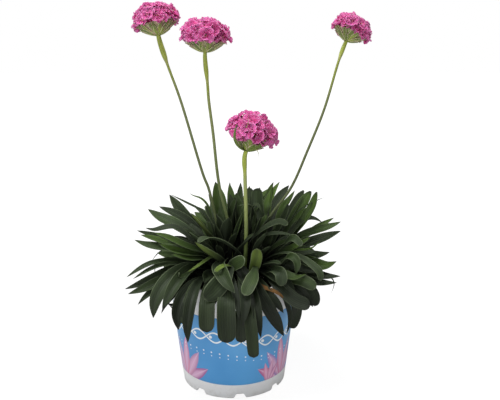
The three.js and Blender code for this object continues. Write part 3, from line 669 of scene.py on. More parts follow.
# Leaves drawn one by one: kind, width in millimetres, and where each passes, as pixels across and down the
# picture and how far back it lies in millimetres
drawnLeaves = {
    "back": [
        ("sharp", 11.5, [(207, 246, 16), (196, 231, 22), (185, 218, 26), (177, 206, 30), (169.5, 194.5, 34)]),
        ("old", 2.4, [(215, 232, 20), (203, 212, 28), (187, 203, 34), (171, 195, 38)]),
        ("bright", 13.5, [(224, 240, 16), (221, 220, 26), (218, 200, 34), (215, 182, 40)]),
        ("bright", 8, [(232, 240, 16), (233, 214, 28), (231, 196, 36), (229.5, 183, 42)]),
        ("sharp", 13, [(240, 244, 10), (238, 222, 18), (237, 206, 24), (236.5, 193, 28)]),
        ("oldBlunt", 8.5, [(247, 240, 14), (246, 212, 28), (248, 196, 34), (251, 188, 36)]),
        ("greyBlunt", 13, [(263, 240, 8), (260, 218, 18), (258, 202, 24), (258, 188, 26)]),
        ("young", 9, [(266, 240, 16), (267, 218, 28), (268, 203, 36), (270, 192, 42), (273.5, 182, 44)]),
        ("young", 8, [(265, 236, 16), (268, 205, 34), (274, 191, 42), (280, 182, 46)]),
        ("old", 11, [(268, 238, 14), (275, 208, 30), (281, 196, 36), (289, 185, 42)]),
        ("bright", 8, [(274, 240, 12), (284, 209, 26), (290, 200, 30), (295.5, 191.5, 34)]),
    ],
    "left": [
        ("greySpoon", 8.5, [(243, 258, -30), (228, 244, -40), (214, 239, -46), (205, 239, -50),
                            (198, 243, -52)], 20),
        ("greySpoon", 16, [(233, 262, -40), (227, 275, -60), (217, 287, -72), (204, 299, -77)], -20),
        ("paleSharp", 12, [(225, 261, -36), (219, 268, -54), (225, 279, -72), (235, 293, -80)], 10),
        ("spoon", 11, [(224, 274, -36), (230, 268, -46), (237, 263, -52), (245, 259, -56)], 70),
        ("lime", 3.8, [(234, 268, -42), (226, 265.5, -58), (220, 267, -66), (214.5, 272, -70)], -30),
        ("spoon", 8, [(224, 276, -44), (217, 293, -66), (210, 303, -74), (203, 311.5, -78)], -10),
        ("young", 2.2, [(212, 232, -4), (209, 208, 0), (201, 198, 0), (194, 196, 0), (189, 193, 0)]),
        ("fresh", 8, [(222, 264, -38), (209, 254, -54), (194.5, 242.5, -64)], 30),
        ("old", 9, [(208, 250, -34), (197, 240, -42), (186, 232, -46)]),
        ("fresh", 9, [(212, 240, -24), (203, 228, -34), (191, 213, -40)]),
        ("sharp", 11.5, [(200, 242, -8), (173, 224, 0), (161, 218, 4), (148, 209, 8)]),
        ("old", 9, [(200, 236, 4), (185, 221, 10), (170, 212, 14), (159, 207, 16)]),
        ("old", 6.5, [(190, 240, -20), (175, 227, -18), (163, 228, -20), (154, 230, -22),
                      (145.5, 227.5, -24)]),
        ("old", 6.5, [(190, 244, -24), (168, 240, -30), (153, 236, -34), (136.5, 231, -38)]),
        ("bright", 8, [(190, 250, -26), (170, 245, -34), (155, 240, -38), (140, 236, -42)]),
        ("grey", 9, [(190, 252, -26), (175, 250, -34), (160, 248, -40), (145, 245, -46),
                     (134.5, 239.5, -48)]),
        ("bright", 11.5, [(205, 254, -30), (187, 248, -42), (170, 241, -50), (153, 234, -56)]),
        ("bright", 8, [(205, 257, -34), (187, 254, -46), (170, 250, -54), (158, 244, -58)]),
        ("sharp", 7, [(205, 260, -36), (190, 259, -48), (171, 255, -60)]),
        ("grey", 5, [(176, 261, -34), (161, 262, -44), (150, 264, -50), (140, 269, -54), (127, 278, -58)]),
        ("grey", 5, [(178, 264, -38), (160, 266, -48), (147, 271, -54), (133, 279, -58)]),
        ("old", 7.5, [(176, 269, -36), (157, 277, -46), (141, 284, -54), (125, 290, -60)]),
        ("grey", 8.5, [(178, 274, -40), (158, 283, -52), (143, 290, -58), (128, 294, -64)]),
        ("grey", 6.5, [(176, 280, -44), (159, 288, -54), (147, 296, -60), (138, 305, -64)]),
        ("grey", 12.5, [(190, 267, -36), (174, 275, -50), (163, 287, -60), (156, 301, -66), (153, 318, -70)]),
        ("grey", 10.5, [(194, 269, -40), (182, 278, -54), (172, 291, -66), (162, 308, -72)]),
        ("old", 4, [(190, 273, -40), (177, 292, -50), (166, 305, -50), (162, 313, -48)]),
        ("spoon", 3.4, [(203, 263, -36), (190, 272, -50), (180, 277, -54), (177, 276, -56), (179, 272, -56)]),
        ("fresh", 3, [(212, 258, -40), (200, 265, -54), (187, 273, -60)]),
        ("young", 3.6, [(233, 244, -4), (237, 231, -4), (240, 222, -3), (243, 212, -2)]),
        ("old", 11.5, [(195, 284, -54), (185.5, 294, -66), (180.5, 303, -72), (178, 314, -74),
                       (178.5, 329.5, -74)]),
        ("olive", 7.5, [(196, 284, -56), (188, 302, -72), (184, 325, -78)]),
        ("old", 9.5, [(199, 282, -52), (192, 300, -76), (189, 322, -84), (188.5, 342, -84)]),
        ("blunt", 13, [(216, 268, -26), (209, 285, -56), (207, 305, -78), (207, 332, -84)]),
        ("blunt", 15.5, [(226, 268, -28), (227, 285, -58), (226, 305, -80), (227, 343, -86)]),
        ("blunt", 10.5, [(237, 268, -30), (243, 290, -62), (242, 315, -80), (241, 342, -84)]),
        ("old", 9, [(236, 268, -34), (243, 286, -62), (246, 302, -80), (243, 326, -88)]),
        ("olive", 10, [(238, 268, -32), (247, 292, -64), (250, 315, -82), (254, 357, -84)]),
        ("old", 8.5, [(241, 268, -36), (250, 288, -60), (256, 308, -78), (261, 338, -82)]),
        ("oldBlunt", 2.4, [(190, 276, -42), (179, 298, -54), (173, 305, -52), (168, 304, -50),
                           (167, 299.5, -49)]),
        ("oldBlunt", 2, [(190, 280, -44), (181, 300, -56), (176, 309, -54), (171, 308, -52),
                         (169.5, 304.5, -51)]),
        ("grey", 1.4, [(180, 252, -30), (163, 250, -30), (154, 258, -32), (152, 262, -34)]),
        ("grey", 1.4, [(180, 258, -30), (158, 262, -32), (155, 268, -34), (155, 276, -34)]),
    ],
    "right": [
        ("lime", 10, [(252, 287, -36), (251, 280, -40), (253, 270, -44), (256, 260, -46),
                      (257, 248.5, -43)], 180),
        ("spoon", 11, [(255, 263, -36), (254, 273, -56), (250, 284, -72), (244, 296, -80)], -12),
        ("greySpoon", 10, [(268, 271, -36), (275, 269.5, -50), (281, 274, -58), (281, 286, -60)], 15),
        ("old", 11, [(250, 276, -42), (258, 293, -62), (267, 307, -64), (276, 321, -60), (283, 335, -56)]),
        ("old", 8, [(258, 280, -40), (269, 295, -60), (277, 303, -60), (283.5, 313, -58)]),
        ("dry", 4, [(256, 284, -40), (265, 289, -56), (275, 292, -60), (282, 296, -60), (284, 300, -60)]),
        ("oldBlunt", 13, [(268, 276, -36), (283, 290, -54), (296, 301, -60), (310, 306, -60)]),
        ("oldBlunt", 10, [(280, 272, -20), (299, 283, -38), (310, 289, -44), (315, 297, -46),
                          (314, 306, -48)]),
        ("old", 10, [(278, 276, -22), (291, 287, -40), (302, 295, -48), (313, 307, -52)]),
        ("old", 4.5, [(272, 276, -32), (284, 298, -52), (289, 312, -48), (289, 323, -46), (286, 334, -46)]),
        ("greyBlunt", 10, [(276, 270, -24), (289, 291, -46), (296, 305, -44), (296, 315, -42),
                           (290, 328, -46)]),
        ("spoon", 10, [(276, 272, -24), (290, 279, -40), (304, 281, -50), (316, 288, -56)], 20),
        ("bright", 8, [(272, 268, -30), (285, 275, -46), (297, 278, -54), (307, 273, -58)]),
        ("greySpoon", 6.5, [(268, 258, -20), (286, 253, -36), (300, 257, -42), (311, 264, -46),
                            (320, 272, -50), (321, 281, -52)]),
        ("paleSharp", 7.5, [(284, 263, -34), (291, 257, -46), (297, 261, -50), (295.5, 275, -52)], 10),
        ("grey", 3, [(262, 238, -20), (272, 233.5, -30), (283, 233, -34), (294, 235.5, -38)], 30),
        ("greySpoon", 6, [(284, 244, -26), (290, 239, -36), (295, 238.5, -44), (302.5, 246, -48)], 30),
        ("greySpoon", 5.5, [(250, 244, -14), (259, 233, -24), (269, 225, -28), (281, 221, -30),
                            (288, 225, -32)], 25),
        ("young", 2.4, [(275, 255, -10), (294, 251, -26), (311, 249, -34), (321, 241, -38)]),
        ("young", 7.5, [(280, 256, -20), (296, 248, -30), (303, 244, -34), (312, 238, -36)]),
        ("old", 10.5, [(280, 260, -8), (302, 258, -22), (315, 257.5, -28), (323, 255, -32),
                       (329, 251.5, -34)]),
        ("bright", 11, [(282, 258, -12), (304, 262, -26), (318, 267, -34), (328, 267.5, -38),
                        (338, 262.5, -42)]),
        ("old", 9, [(285, 264, -16), (308, 273, -34), (325, 277, -42), (340.5, 276, -48)]),
        ("old", 8, [(285, 268, -18), (308, 280, -38), (322, 283, -46), (337, 283, -52)]),
        ("old", 10, [(282, 260, 0), (304, 246.5, -6), (318, 241.5, -10), (330, 237, -12), (342, 232, -16)]),
        ("sharp", 8.5, [(280, 253, 4), (298, 238, 4), (315, 232, 6), (330, 227, 8), (341, 222, 10)]),
        ("bright", 6.5, [(285, 250, 10), (304, 238, 14), (319, 227, 18), (334, 218, 22)]),
        ("old", 6.5, [(285, 240, 0), (297, 225, 4), (306, 218.5, 6), (315, 219, 8), (323, 223.5, 8)]),
        ("broad", 9.5, [(280, 252, 2), (296, 232, 4), (306, 218, 5), (313.5, 205, 6), (317, 192, 6)]),
        ("broad", 10.5, [(276, 250, 6), (288, 230, 9), (301, 209, 12), (311.5, 191.5, 14)]),
        ("oldBroad", 8.5, [(274, 246, 10), (290, 215, 14), (297, 202, 16), (304.5, 191, 18)]),
        ("oldBlunt", 10, [(272, 246, -10), (280, 226, -14), (290, 205, -16)]),
        ("grey", 4, [(257, 230, 0), (250, 205, -4), (243, 205, -10), (238, 206, -14)]),
        ("grey", 4, [(252, 222, 0), (254, 204, -6), (259, 206, -8), (262, 213, -10)]),
        ("old", 1.3, [(300, 210, 4), (318, 200, 8), (325, 197, 10)]),
        ("old", 1.4, [(298, 268, -14), (333, 279, -20), (334, 285, -20), (331, 293, -20)]),
    ],
}


def seenAt(across, down, back):  # the place that shows at a pixel of the picture, in millimetres
    pixels = picture["width"] * view["focal"] / view["sensor"]
    aside, rise = (across - picture["width"] / 2) / pixels, (picture["height"] / 2 - down) / pixels
    c, s = math.cos(math.radians(view["pitchDown"])), math.sin(math.radians(view["pitchDown"]))
    ray = np.array([aside, c + rise * s, rise * c - s])
    return view["place"] + ray * (back - view["place"][1]) / ray[1]


def keepClear(path, wedge, halfWidth):  # off the flower stems, and over the compost and the rim
    path = path.copy()
    for name, into in zip(wedge, (1, -1)):
        bearing, slotHalf, reach = tuft["slots"][name]
        turn = math.radians(bearing)
        along = np.array([math.cos(turn), math.sin(turn)])
        inward = np.array([-math.sin(turn), math.cos(turn)]) * into
        near = 1 - np.clip((path[:, :2] @ along - reach) / tuft["slotTaper"], 0, 1)
        least = between(tuft["slotEnd"], slotHalf + halfWidth, near)
        short = np.maximum(0, least - path[:, :2] @ inward)
        path[:, :2] += short[:, None] * inward
    out = np.linalg.norm(path[:, :2], axis=1)
    inside, wall, outside = tuft["rimSpan"]
    floor = between(compost["top"] + tuft["overSoil"], pot["height"] + tuft["overRim"],
                    np.clip((out - inside) / (wall - inside), 0, 1))
    lifted = np.maximum(path[:, 2], floor + 1)
    over = (out > 3 * tuft["crownRadius"]) & (out < outside)
    path[:, 2] = np.where(over, lifted, path[:, 2])
    return path


def beforePot(path):  # slides what would be in the rim or wall along its line of sight
    path = path.copy()
    toCamera = unit(view["place"] - path)
    _, wall, outside = tuft["rimSpan"]
    for _ in range(60):
        out = np.linalg.norm(path[:, :2], axis=1)
        caught = (out > wall) & (out < outside) & (path[:, 2] < pot["height"] + tuft["overRim"])
        path += caught[:, None] * toCamera * 0.5
    return path


def evenOut(path, rounds):
    for _ in range(rounds):
        path[1:-1] = (path[:-2] + 2 * path[1:-1] + path[2:]) / 4
    return path


def leafSpine(crown, bearing, elevation, distance, curve, shares):
    tip = heading(bearing, elevation) * distance + tuft["centre"]
    outward = math.degrees(math.atan2(tip[1] - crown[1], tip[0] - crown[0]))
    start = np.array([*crown, tuft["crownTop"] - 6 + 3 * max(0, elevation / 90)]) + 3 * heading(outward, 0)
    rise = between(tuft["lowRise"], min(86, elevation + tuft["rise"]), smooth((elevation - 2) / 18))
    fall = max(-86, elevation - (8 + 0.15 * max(0, 45 - elevation) + 1.3 * max(0, 15 - elevation)))
    reach = np.linalg.norm(tip - start)
    first, last = (0.48, 0.46) if elevation < 0 else (0.4, 0.36)
    lead = start + heading(outward - curve, rise) * reach * first
    trail = tip - heading(outward + curve, fall) * reach * last
    s = shares[:, None]
    path = start * (1 - s)**3 + 3 * lead * s * (1 - s)**2 + 3 * trail * s**2 * (1 - s) + tip * s**3
    return path, outward


def addBlade(gather, draw, path, outward, turn, twist, width, kind):
    looks = leafKinds[kind]
    shares, length = spans(path), np.linalg.norm(np.diff(path, axis=0), axis=1).sum()
    along = unit(np.gradient(path, axis=0))
    flat = np.array([-math.sin(math.radians(outward)), math.cos(math.radians(outward)), 0])
    across = unit(flat - (along @ flat)[:, None] * along)
    roll = np.radians(turn + twist * (next(draw) - 0.5) * 2 * shares**1.5)[:, None]
    across = across * np.cos(roll) + np.cross(along, across) * np.sin(roll)
    up = np.cross(along, across)
    slim = min(1, width / 6)
    sway = leafForm["sway"] * slim * (next(draw) - 0.5) * np.sin(math.pi * shares) * np.sin(4 * shares)
    hook = leafForm["hook"] * slim * (next(draw) - 0.35) * np.clip((shares - 0.72) / 0.28, 0, 1) ** 2
    path = path + across * sway[:, None] + up * hook[:, None]
    form = looks.get("form", "sharp")
    half = (width / 2 * profileAt(leafForm[form], shares))[:, None]
    if form in leafForm["rounded"]:  # the last few millimetres close in a round end
        left = (1 - shares[:, None]) * length / (leafForm["roundEnd"] * width / 2)
        half = half * np.sqrt(1 - np.clip(1 - left, 0, 0.998) ** 2)
    t = np.sin(np.linspace(-1, 1, leafForm["columns"]) * math.pi / 2 * 0.98)[None, :]
    channel = between(*leafForm["channel"], next(draw)) * (0.35 if form in leafForm["rounded"] else 1)
    channel = channel * (0.45 + 0.55 * np.sin(math.pi * shares[:, None]) ** 0.6)
    phase = 7 * next(draw)
    groove = leafForm["groove"] * np.exp(-(t / 0.13) ** 2) * smooth(half / 3)
    lift = channel * half * np.abs(t) ** 1.2 - groove
    lift = lift + leafForm["wave"] * half / 4 * t * np.abs(t) * np.sin(9 * shares[:, None] + phase + t)
    thick = between(leafForm["margin"], leafForm["middle"], (1 - np.abs(t) ** 1.8)) * smooth(half / 2.2 + 0.2)
    middle = path[:, None] + across[:, None] * (half * t)[..., None]
    top = middle + up[:, None] * (lift + thick / 2)[..., None]
    under = middle + up[:, None] * (lift - thick / 2)[..., None]
    size = top.shape[:2]
    # painted shade: deep is full within the near reach of tuft shade from the tuft's heart and fades to none
    # at the far reach; the leaf skin darkens by it
    near, far = tuft["shade"]
    deep = np.clip((far - np.linalg.norm(top - tuft["heart"], axis=-1)) / (far - near), 0, 1)
    lot = next(draw)
    gather.add(
        np.concatenate([top, under]), sheetFaces(*size),
        along=overSheet(shares[:, None], size), across=overSheet(t, size), deep=overSheet(deep, size),
        under=np.repeat([0.0, 1.0], deep.size), tone=next(draw),
        young=looks.get("young", max(0, lot * 2.6 - 2.1)),
        old=looks.get("old", max(0, 1 - 4 * lot)), grey=looks.get("grey", 0),
        pale=looks.get("pale", 0.25 * lot), dry=looks.get("dry", 0), lime=looks.get("lime", 0))


def addLeaf(gather, rosette, draw, bearing, elevation, distance, width, curve=0, kind="sharp", roll=0):
    path, outward = leafSpine(rosette["crown"], bearing, elevation, distance, curve, leafShares)
    path = evenOut(keepClear(path, rosette["wedge"], 0.3 * width), 2)
    turn = tuft["turnToLight"] * math.cos(math.radians(bearing)) + roll
    addBlade(gather, draw, path, outward, turn, leafForm["twist"], width, kind)


def addDrawnLeaf(gather, rosette, draw, kind, width, seen, roll=0):
    places = [seenAt(*spot) for spot in seen]
    toward = places[0][:2] - rosette["crown"]
    base = np.array([*rosette["crown"] + 3.5 * toward / np.linalg.norm(toward), tuft["crownTop"] - 2])
    curve = smoothPath([base, *places], 80)
    path = np.stack([np.interp(leafShares, spans(curve), curve[:, i]) for i in range(3)], -1)
    path = evenOut(beforePot(path), 2)
    away = path[-1] - path[0]
    outward = math.degrees(math.atan2(away[1], away[0]))
    turn = tuft["turnToLight"] * math.cos(math.radians(outward)) + roll
    addBlade(gather, draw, path, outward, turn, leafForm["drawnTwist"], width, kind)


def fillLeaves(fill, draw):  # evenly over a span of bearings and elevations, no two alike
    count, start, end, lowest, highest, shortest, longest = fill
    low, high = math.sin(math.radians(lowest)), math.sin(math.radians(highest))
    golden = (math.sqrt(5) - 1) / 2
    for i in range(count):
        bearing = between(start, end, (i * golden + 0.3) % 1) + 4 * (next(draw) - 0.5)
        elevation = math.degrees(math.asin(between(low, high, (i + 0.5) / count)))
        distance = between(shortest, longest, next(draw)) - 0.12 * max(0, elevation)
        width = between(6, 12, next(draw))
        yield bearing, elevation, distance, width, between(-16, 16, next(draw))


def leafSkin():
    paint = Paint("leaf")
    along, across, under = paint.mark("along"), paint.mark("across"), paint.mark("under")
    tone, young, old, grey, pale, dry = (
        paint.mark(name) for name in ("tone", "young", "old", "grey", "pale", "dry"))
    mottle, fine = paint.grain(120, 5, 0.6), paint.grain(700, 3, 0.6)
    upper = paint.mix(tone, ink("#233316"), ink("#374c22"))
    upper = paint.mix(mottle.ramp(0.35, 0.7) * 0.4, upper, ink("#1f2b15"))
    tip = along.ramp(0.4, 0.95)
    upper = paint.mix(tip * (0.12 + 0.75 * young), upper, ink("#64832b"))
    upper = paint.mix(young * 0.4, upper, ink("#4b6824"))
    upper = paint.mix(old * 0.8, upper, paint.mix(tone, ink("#131b10"), ink("#1f2a18")))
    lower = paint.mix(tone, ink("#262f1f"), ink("#343f2b"))
    colour = paint.mix(under * 0.9, upper, lower)
    bloom = mottle.ramp(0.4, 0.8) * 0.18 + grey * 0.5
    colour = paint.mix(bloom, colour, paint.mix(tone, ink("#313c2c"), ink("#444f3b")))
    colour = paint.mix(paint.mark("lime") * tip, colour, ink("#8ba036"))
    veins = ((across * 23 + fine * 2.4 + mottle * 6).sin() * 0.5 + 0.5) ** 3
    colour = paint.mix(veins * 0.28, colour, ink("#566b3c"))
    bands = (across * 5 + tone * 9 + mottle * 4).sin() * 0.5 + 0.5
    colour = paint.mix(bands * 0.3, colour, ink("#18220f"))
    midrib = 1 - abs(across).ramp(0.02, 0.09)
    colour = paint.mix(midrib * 0.3 * (1 - tip), colour, ink("#1d2914"))
    # pale margins and tip: partly the leaf's own pale rim, set by pale, and partly a painted highlight where
    # light catches every leaf's edge
    margin = abs(across).ramp(0.84, 0.98) + along.ramp(0.975, 1)
    colour = paint.mix((margin * (0.14 + 0.6 * pale)).clip(), colour, ink("#85936f"))
    # painted shade: each leaf darkens to near black towards its base, where it lies in the tuft's shade
    base = 1 - along.ramp(0.1, 0.68)
    colour = paint.mix(base * 0.9, colour, ink("#0d130b"))
    point = along.ramp(0.955, 0.995) * (1 - pale)
    colour = paint.mix(point * 0.85, colour, ink("#12160c"))
    straw = paint.mix((mottle.ramp(0.35, 0.65) * 0.5 + along * 0.5), ink("#4a3018"), ink("#966a30"))
    colour = paint.mix(dry, colour, straw)
    # painted shade: leaves darken towards near black the lower they sit, from 150 mm down to 80 mm, and the
    # nearer they lie to the tuft's heart
    low = 1 - (paint.axis("Z") / mm).ramp(80, 150)
    shadow = (paint.mark("deep") * 0.9).math("MAXIMUM", low * 0.74)
    colour = paint.mix(shadow, colour, ink("#070b06"))
    return paint.finish(
        Base_Color=colour, Roughness=0.52 + 0.14 * mottle + 0.1 * under + 0.15 * dry,
        Normal=paint.bump(veins * 0.4 + fine * 0.3 + mottle * 0.4, 0.2), Specular_IOR_Level=0.3)


def barkSkin():
    paint = Paint("crown_bark")
    rings, fine = paint.grain(300, 4, 0.6, stretch=(1, 1, 4)), paint.grain(1200, 3)
    colour = paint.mix(rings.ramp(0.35, 0.65), ink("#1e160f"), ink("#3f3324"))
    return paint.finish(Base_Color=colour, Roughness=0.85, Normal=paint.bump(rings * 0.7 + fine * 0.3, 0.6))


stump = {
    "outline": [(0, 3.2), (0.45, 6.8), (0.6, 8), (0.9, 7.6), (1, 4.6)],
    "rows": 26, "sides": 30, "bulge": 0.16,
}


def addRosette(name, rosette, leaf, bark):
    draw = drawer(rosette["seed"])
    leaves = [*rosette["leaves"]]
    for fill in rosette["fills"]:
        leaves += fillLeaves(fill, draw)
    start, end = (tuft["slots"][side][0] for side in rosette["wedge"])
    end += 360 if end < start else 0
    inner = fillLeaves((leafForm["inner"], start, end, 5, 80, 36, 66), draw)
    leaves += [(*given, "old") for given in inner]
    gather = Gatherer()
    looks = drawer(rosette["seed"] + 40)
    for given in leaves:
        addLeaf(gather, rosette, looks, *given)
    for given in drawnLeaves[name]:
        addDrawnLeaf(gather, rosette, looks, *given)
    gather.makePiece(f"leaves_{name}", leaf, "leaf", [f"rosette_{name}"])
    wood = Gatherer()
    profile = profileAt(stump["outline"], np.linspace(0, 1, stump["rows"]))
    heights = np.linspace(tuft["rootBottom"], tuft["crownTop"], stump["rows"])
    rings = lathe(np.stack([profile, heights], -1), stump["sides"])
    for ring in rings:
        for point in ring:
            bulge = 1 + stump["bulge"] * noise.noise(Vector(point) * 0.5)
            point[:2] = point[:2] * bulge + rosette["crown"]
    wood.add(rings, ringFaces(stump["rows"], stump["sides"]))
    wood.makePiece(f"crown_{name}", bark, "leaf")


leafMaterial, barkMaterial = leafSkin(), barkSkin()
for rosetteName, rosetteValues in rosettes.items():
    addRosette(rosetteName, rosetteValues, leafMaterial, barkMaterial)


# Flowers. Stems rise in a slot, through points given as distance out from the axis and height. A bowl has its
# depth and the power of its curve. A long bract has its bearing, length, width and how far it spreads. A
# thread has two ends, each given as bearing, distance out and height in the head

flowers = [
    {"slot": "left", "points": [(9, 78), (11, 110), (26, 176), (32, 189), (56, 257), (69, 287)],
     "head": (79, 315.2), "lean": 14, "tilt": (0.02, 0), "size": 46.5,
     "radius": 1.22, "sheath": 29, "sheathRadius": 2.5, "seed": 1,
     "bowl": (8.5, 1.7), "wrap": 1.18, "sag": 1.1, "shade": 0.75, "longBracts": [],
     "threads": [((268, 3, 1), (268, 4, -10)), ((300, 6, 1), (310, 10, -1.5)), ((200, 17, 9), (196, 21, 5))]},
    {"slot": "left", "points": [(2, 78), (4, 139), (15, 182), (21, 230), (25, 258), (26, 272)],
     "head": (28, 300), "lean": 1, "tilt": (0.05, 0), "size": 46.5,
     "radius": 1.33, "sheath": 28, "sheathRadius": 2.05, "seed": 2,
     "bowl": (8, 1.7), "wrap": 1.28, "sag": 0.1, "shade": 0.55, "longBracts": [],
     "threads": [((345, 14, 6), (350, 19.5, 6))]},
    {"slot": "front", "points": [(20, 78), (24, 113), (26, 135), (26.5, 153), (24.5, 195)],
     "head": (28, 219), "lean": 4, "tilt": (0.27, 0), "size": 47,
     "radius": 1.6, "sheath": 22, "sheathRadius": 2.1, "seed": 3,
     "bowl": (11, 1.4), "wrap": 1.12, "sag": -1.6, "shade": 0,
     "longBracts": [(242, 31, 3.4, 1), (303, 17, 3.8, 0)],
     "threads": [((300, 12, 5), (305, 19, -1)), ((250, 18, 20), (248, 20, 29))]},
    {"slot": "right", "points": [(10, 78), (18, 120), (38, 150), (60, 175), (78, 210), (95, 247), (110, 292)],
     "head": (118, 310), "lean": 20, "tilt": (0.12, 0), "size": 41,
     "radius": 1.2, "sheath": 20, "sheathRadius": 2, "seed": 4,
     "bowl": (8, 1.7), "wrap": 1.34, "sag": 0.6, "shade": 0.8, "longBracts": [], "threads": []},
]
head = {
    "modelSize": 46, "socket": 2.6, "neck": 6, "seat": 0.7, "bowlRadius": 16.2,
    "dome": 17.9, "domeHeight": 12.4, "domeCentre": 12.8, "florets": 46, "core": 16.4, "coreTop": 24.5,
    "coreHem": 0.16, "coreSides": 32, "sunk": 1.5,
}


def slotPoint(flower, out, height):
    point = heading(tuft["slots"][flower["slot"]][0], 0) * out
    point[2] = height
    return point


def headFrame(flower):  # the head's place, its axis, and the turn and size that carry it there
    axis = unit(heading(tuft["slots"][flower["slot"]][0], 90 - flower["lean"]) + (*flower["tilt"], 0))
    turn = np.array(Vector((0, 0, 1)).rotation_difference(Vector(axis)).to_matrix())
    return slotPoint(flower, *flower["head"]), axis, turn * flower["size"] / head["modelSize"]


def stemSkin():
    paint = Paint("stem")
    along, shade = paint.mark("along"), paint.mark("shade")
    ribs = paint.grain(160, 3, 0.5, stretch=(9, 9, 0.5))
    fine = paint.grain(900, 2)
    fresh = paint.mix(along.ramp(0.3, 0.8), ink("#64763e"), ink("#a0ab68"))
    fresh = paint.mix(along.ramp(0.79, 0.86), fresh, ink("#b0c04c"))
    grey = paint.mix(along.ramp(0.7, 0.97), ink("#4b5236"), ink("#878f3e"))
    colour = paint.mix(shade, fresh, grey)
    colour = paint.mix(ribs.ramp(0.4, 0.7) * 0.25, colour, ink("#777f4e"))
    sheath = paint.mark("sheath")
    colour = paint.mix(sheath * 0.6, colour, ink("#a3b04c"))
    papery = paint.mark("papery")
    colour = paint.mix(papery * 0.25, colour, ink("#c2b98e"))
    return paint.finish(Base_Color=colour, Roughness=0.5 + 0.2 * papery, Specular_IOR_Level=0.35,
                        Normal=paint.bump(ribs * 0.7 + fine * 0.3, 0.18))


stem = {
    "swell": [(0, 0.72), (0.2, 0.86), (0.45, 1), (0.75, 0.9), (0.93, 0.8), (1, 0.86)],
    "taper": (1.04, 0.98), "ribs": 5, "ribDepth": 0.03, "rows": 120, "sides": 20,
}


def addStem(flower, number, material):
    place, axis, _ = headFrame(flower)
    knots = [slotPoint(flower, *point) for point in flower["points"]]
    knots += [place - head["neck"] * axis, place + (head["socket"] - head["seat"]) * axis]
    path = smoothPath(knots, 110)
    sheathStart = 1 - (flower["sheath"] + head["socket"]) / lengths(path)[-1]
    shares = np.linspace(0, 1, stem["rows"])
    path = np.stack([np.interp(shares, spans(path), path[:, i]) for i in range(3)], -1)
    turn = turns(stem["sides"])
    inside = np.clip((shares - sheathStart) / (1 - sheathStart), 0, 1)
    grow = smooth(inside / 0.3) * (shares > sheathStart)
    swell = profileAt(stem["swell"], inside)
    plain = flower["radius"] * between(*stem["taper"], shares)
    radii = between(plain, np.maximum(plain, flower["sheathRadius"] * swell), grow)
    ribs = stem["ribDepth"] * np.cos(stem["ribs"] * turn)
    radii = radii[:, None] * (1 + ribs * (1 - 0.7 * grow[:, None]))
    gather = Gatherer()
    rim = np.exp(-((shares - sheathStart - 0.012) / 0.012) ** 2)
    addTube(gather, path, radii, stem["sides"], shade=flower["shade"],
            sheath=np.repeat(grow, stem["sides"]), papery=np.repeat(rim, stem["sides"]))
    gather.makePiece(f"flower_stem_{number}", material, "stem", [f"stem_{number}"])


def bowlAt(flower, u):  # radius, height and outward slope of the bowl at a share of the way to its rim
    radius = between(2, head["bowlRadius"], u)
    depth, power = flower["bowl"]
    height = depth * u ** power
    slope = power * depth * u ** (power - 1) / (head["bowlRadius"] - 2)
    long = np.sqrt(1 + slope**2)
    return radius, height, slope / long, 1 / long


bract = {
    "whorls": [  # how many, first share, last share, width, lift off the bowl, tip flare
        (17, 0.14, 1.2, 4.6, 0.1, 1), (13, 0.05, 1.08, 4.2, 0.5, 0.7), (8, 0.01, 0.86, 4, 0.95, 0.3),
    ],
    "outline": [(0, 0.5), (0.3, 0.88), (0.55, 1), (0.8, 0.8), (0.93, 0.42), (1, 0.04)],
    "rows": 14, "columns": 7, "thick": 0.33, "cupSides": 40, "thread": (0.32, 0.1),
    "close": [(3, 0.2), (8, 2.9), (12.5, 6.8), (17, 11), (20.5, 16), (24, 22)],
    "longOutline": [(0, 1.2), (0.4, 1), (0.75, 0.6), (1, 0.05)],
}


def bractSkin():
    paint = Paint("bract")
    along, across, tone = paint.mark("along"), paint.mark("across"), paint.mark("tone")
    streaks = (across * 19).sin() * 0.5 + 0.5
    mottle = paint.grain(400, 4, 0.6)
    colour = paint.mix(tone, ink("#5c7232"), ink("#9fac52"))
    colour = paint.mix(along.ramp(0.35, 1) * 0.75, colour, ink("#53683a"))
    colour = paint.mix(streaks * 0.2, colour, ink("#b3ba72"))
    margin = paint.mix(mottle.ramp(0.45, 0.6), ink("#dcd8ae"), ink("#dcb4b4"))
    colour = paint.mix(abs(across).ramp(0.6, 0.94) * 0.8, colour, margin)
    colour = paint.mix(along.ramp(0.9, 1) * 0.4, colour, ink("#8a6f4a"))
    return paint.finish(Base_Color=colour, Roughness=0.62, Specular_IOR_Level=0.3,
                        Normal=paint.bump(streaks * 0.4 + mottle * 0.6, 0.12))


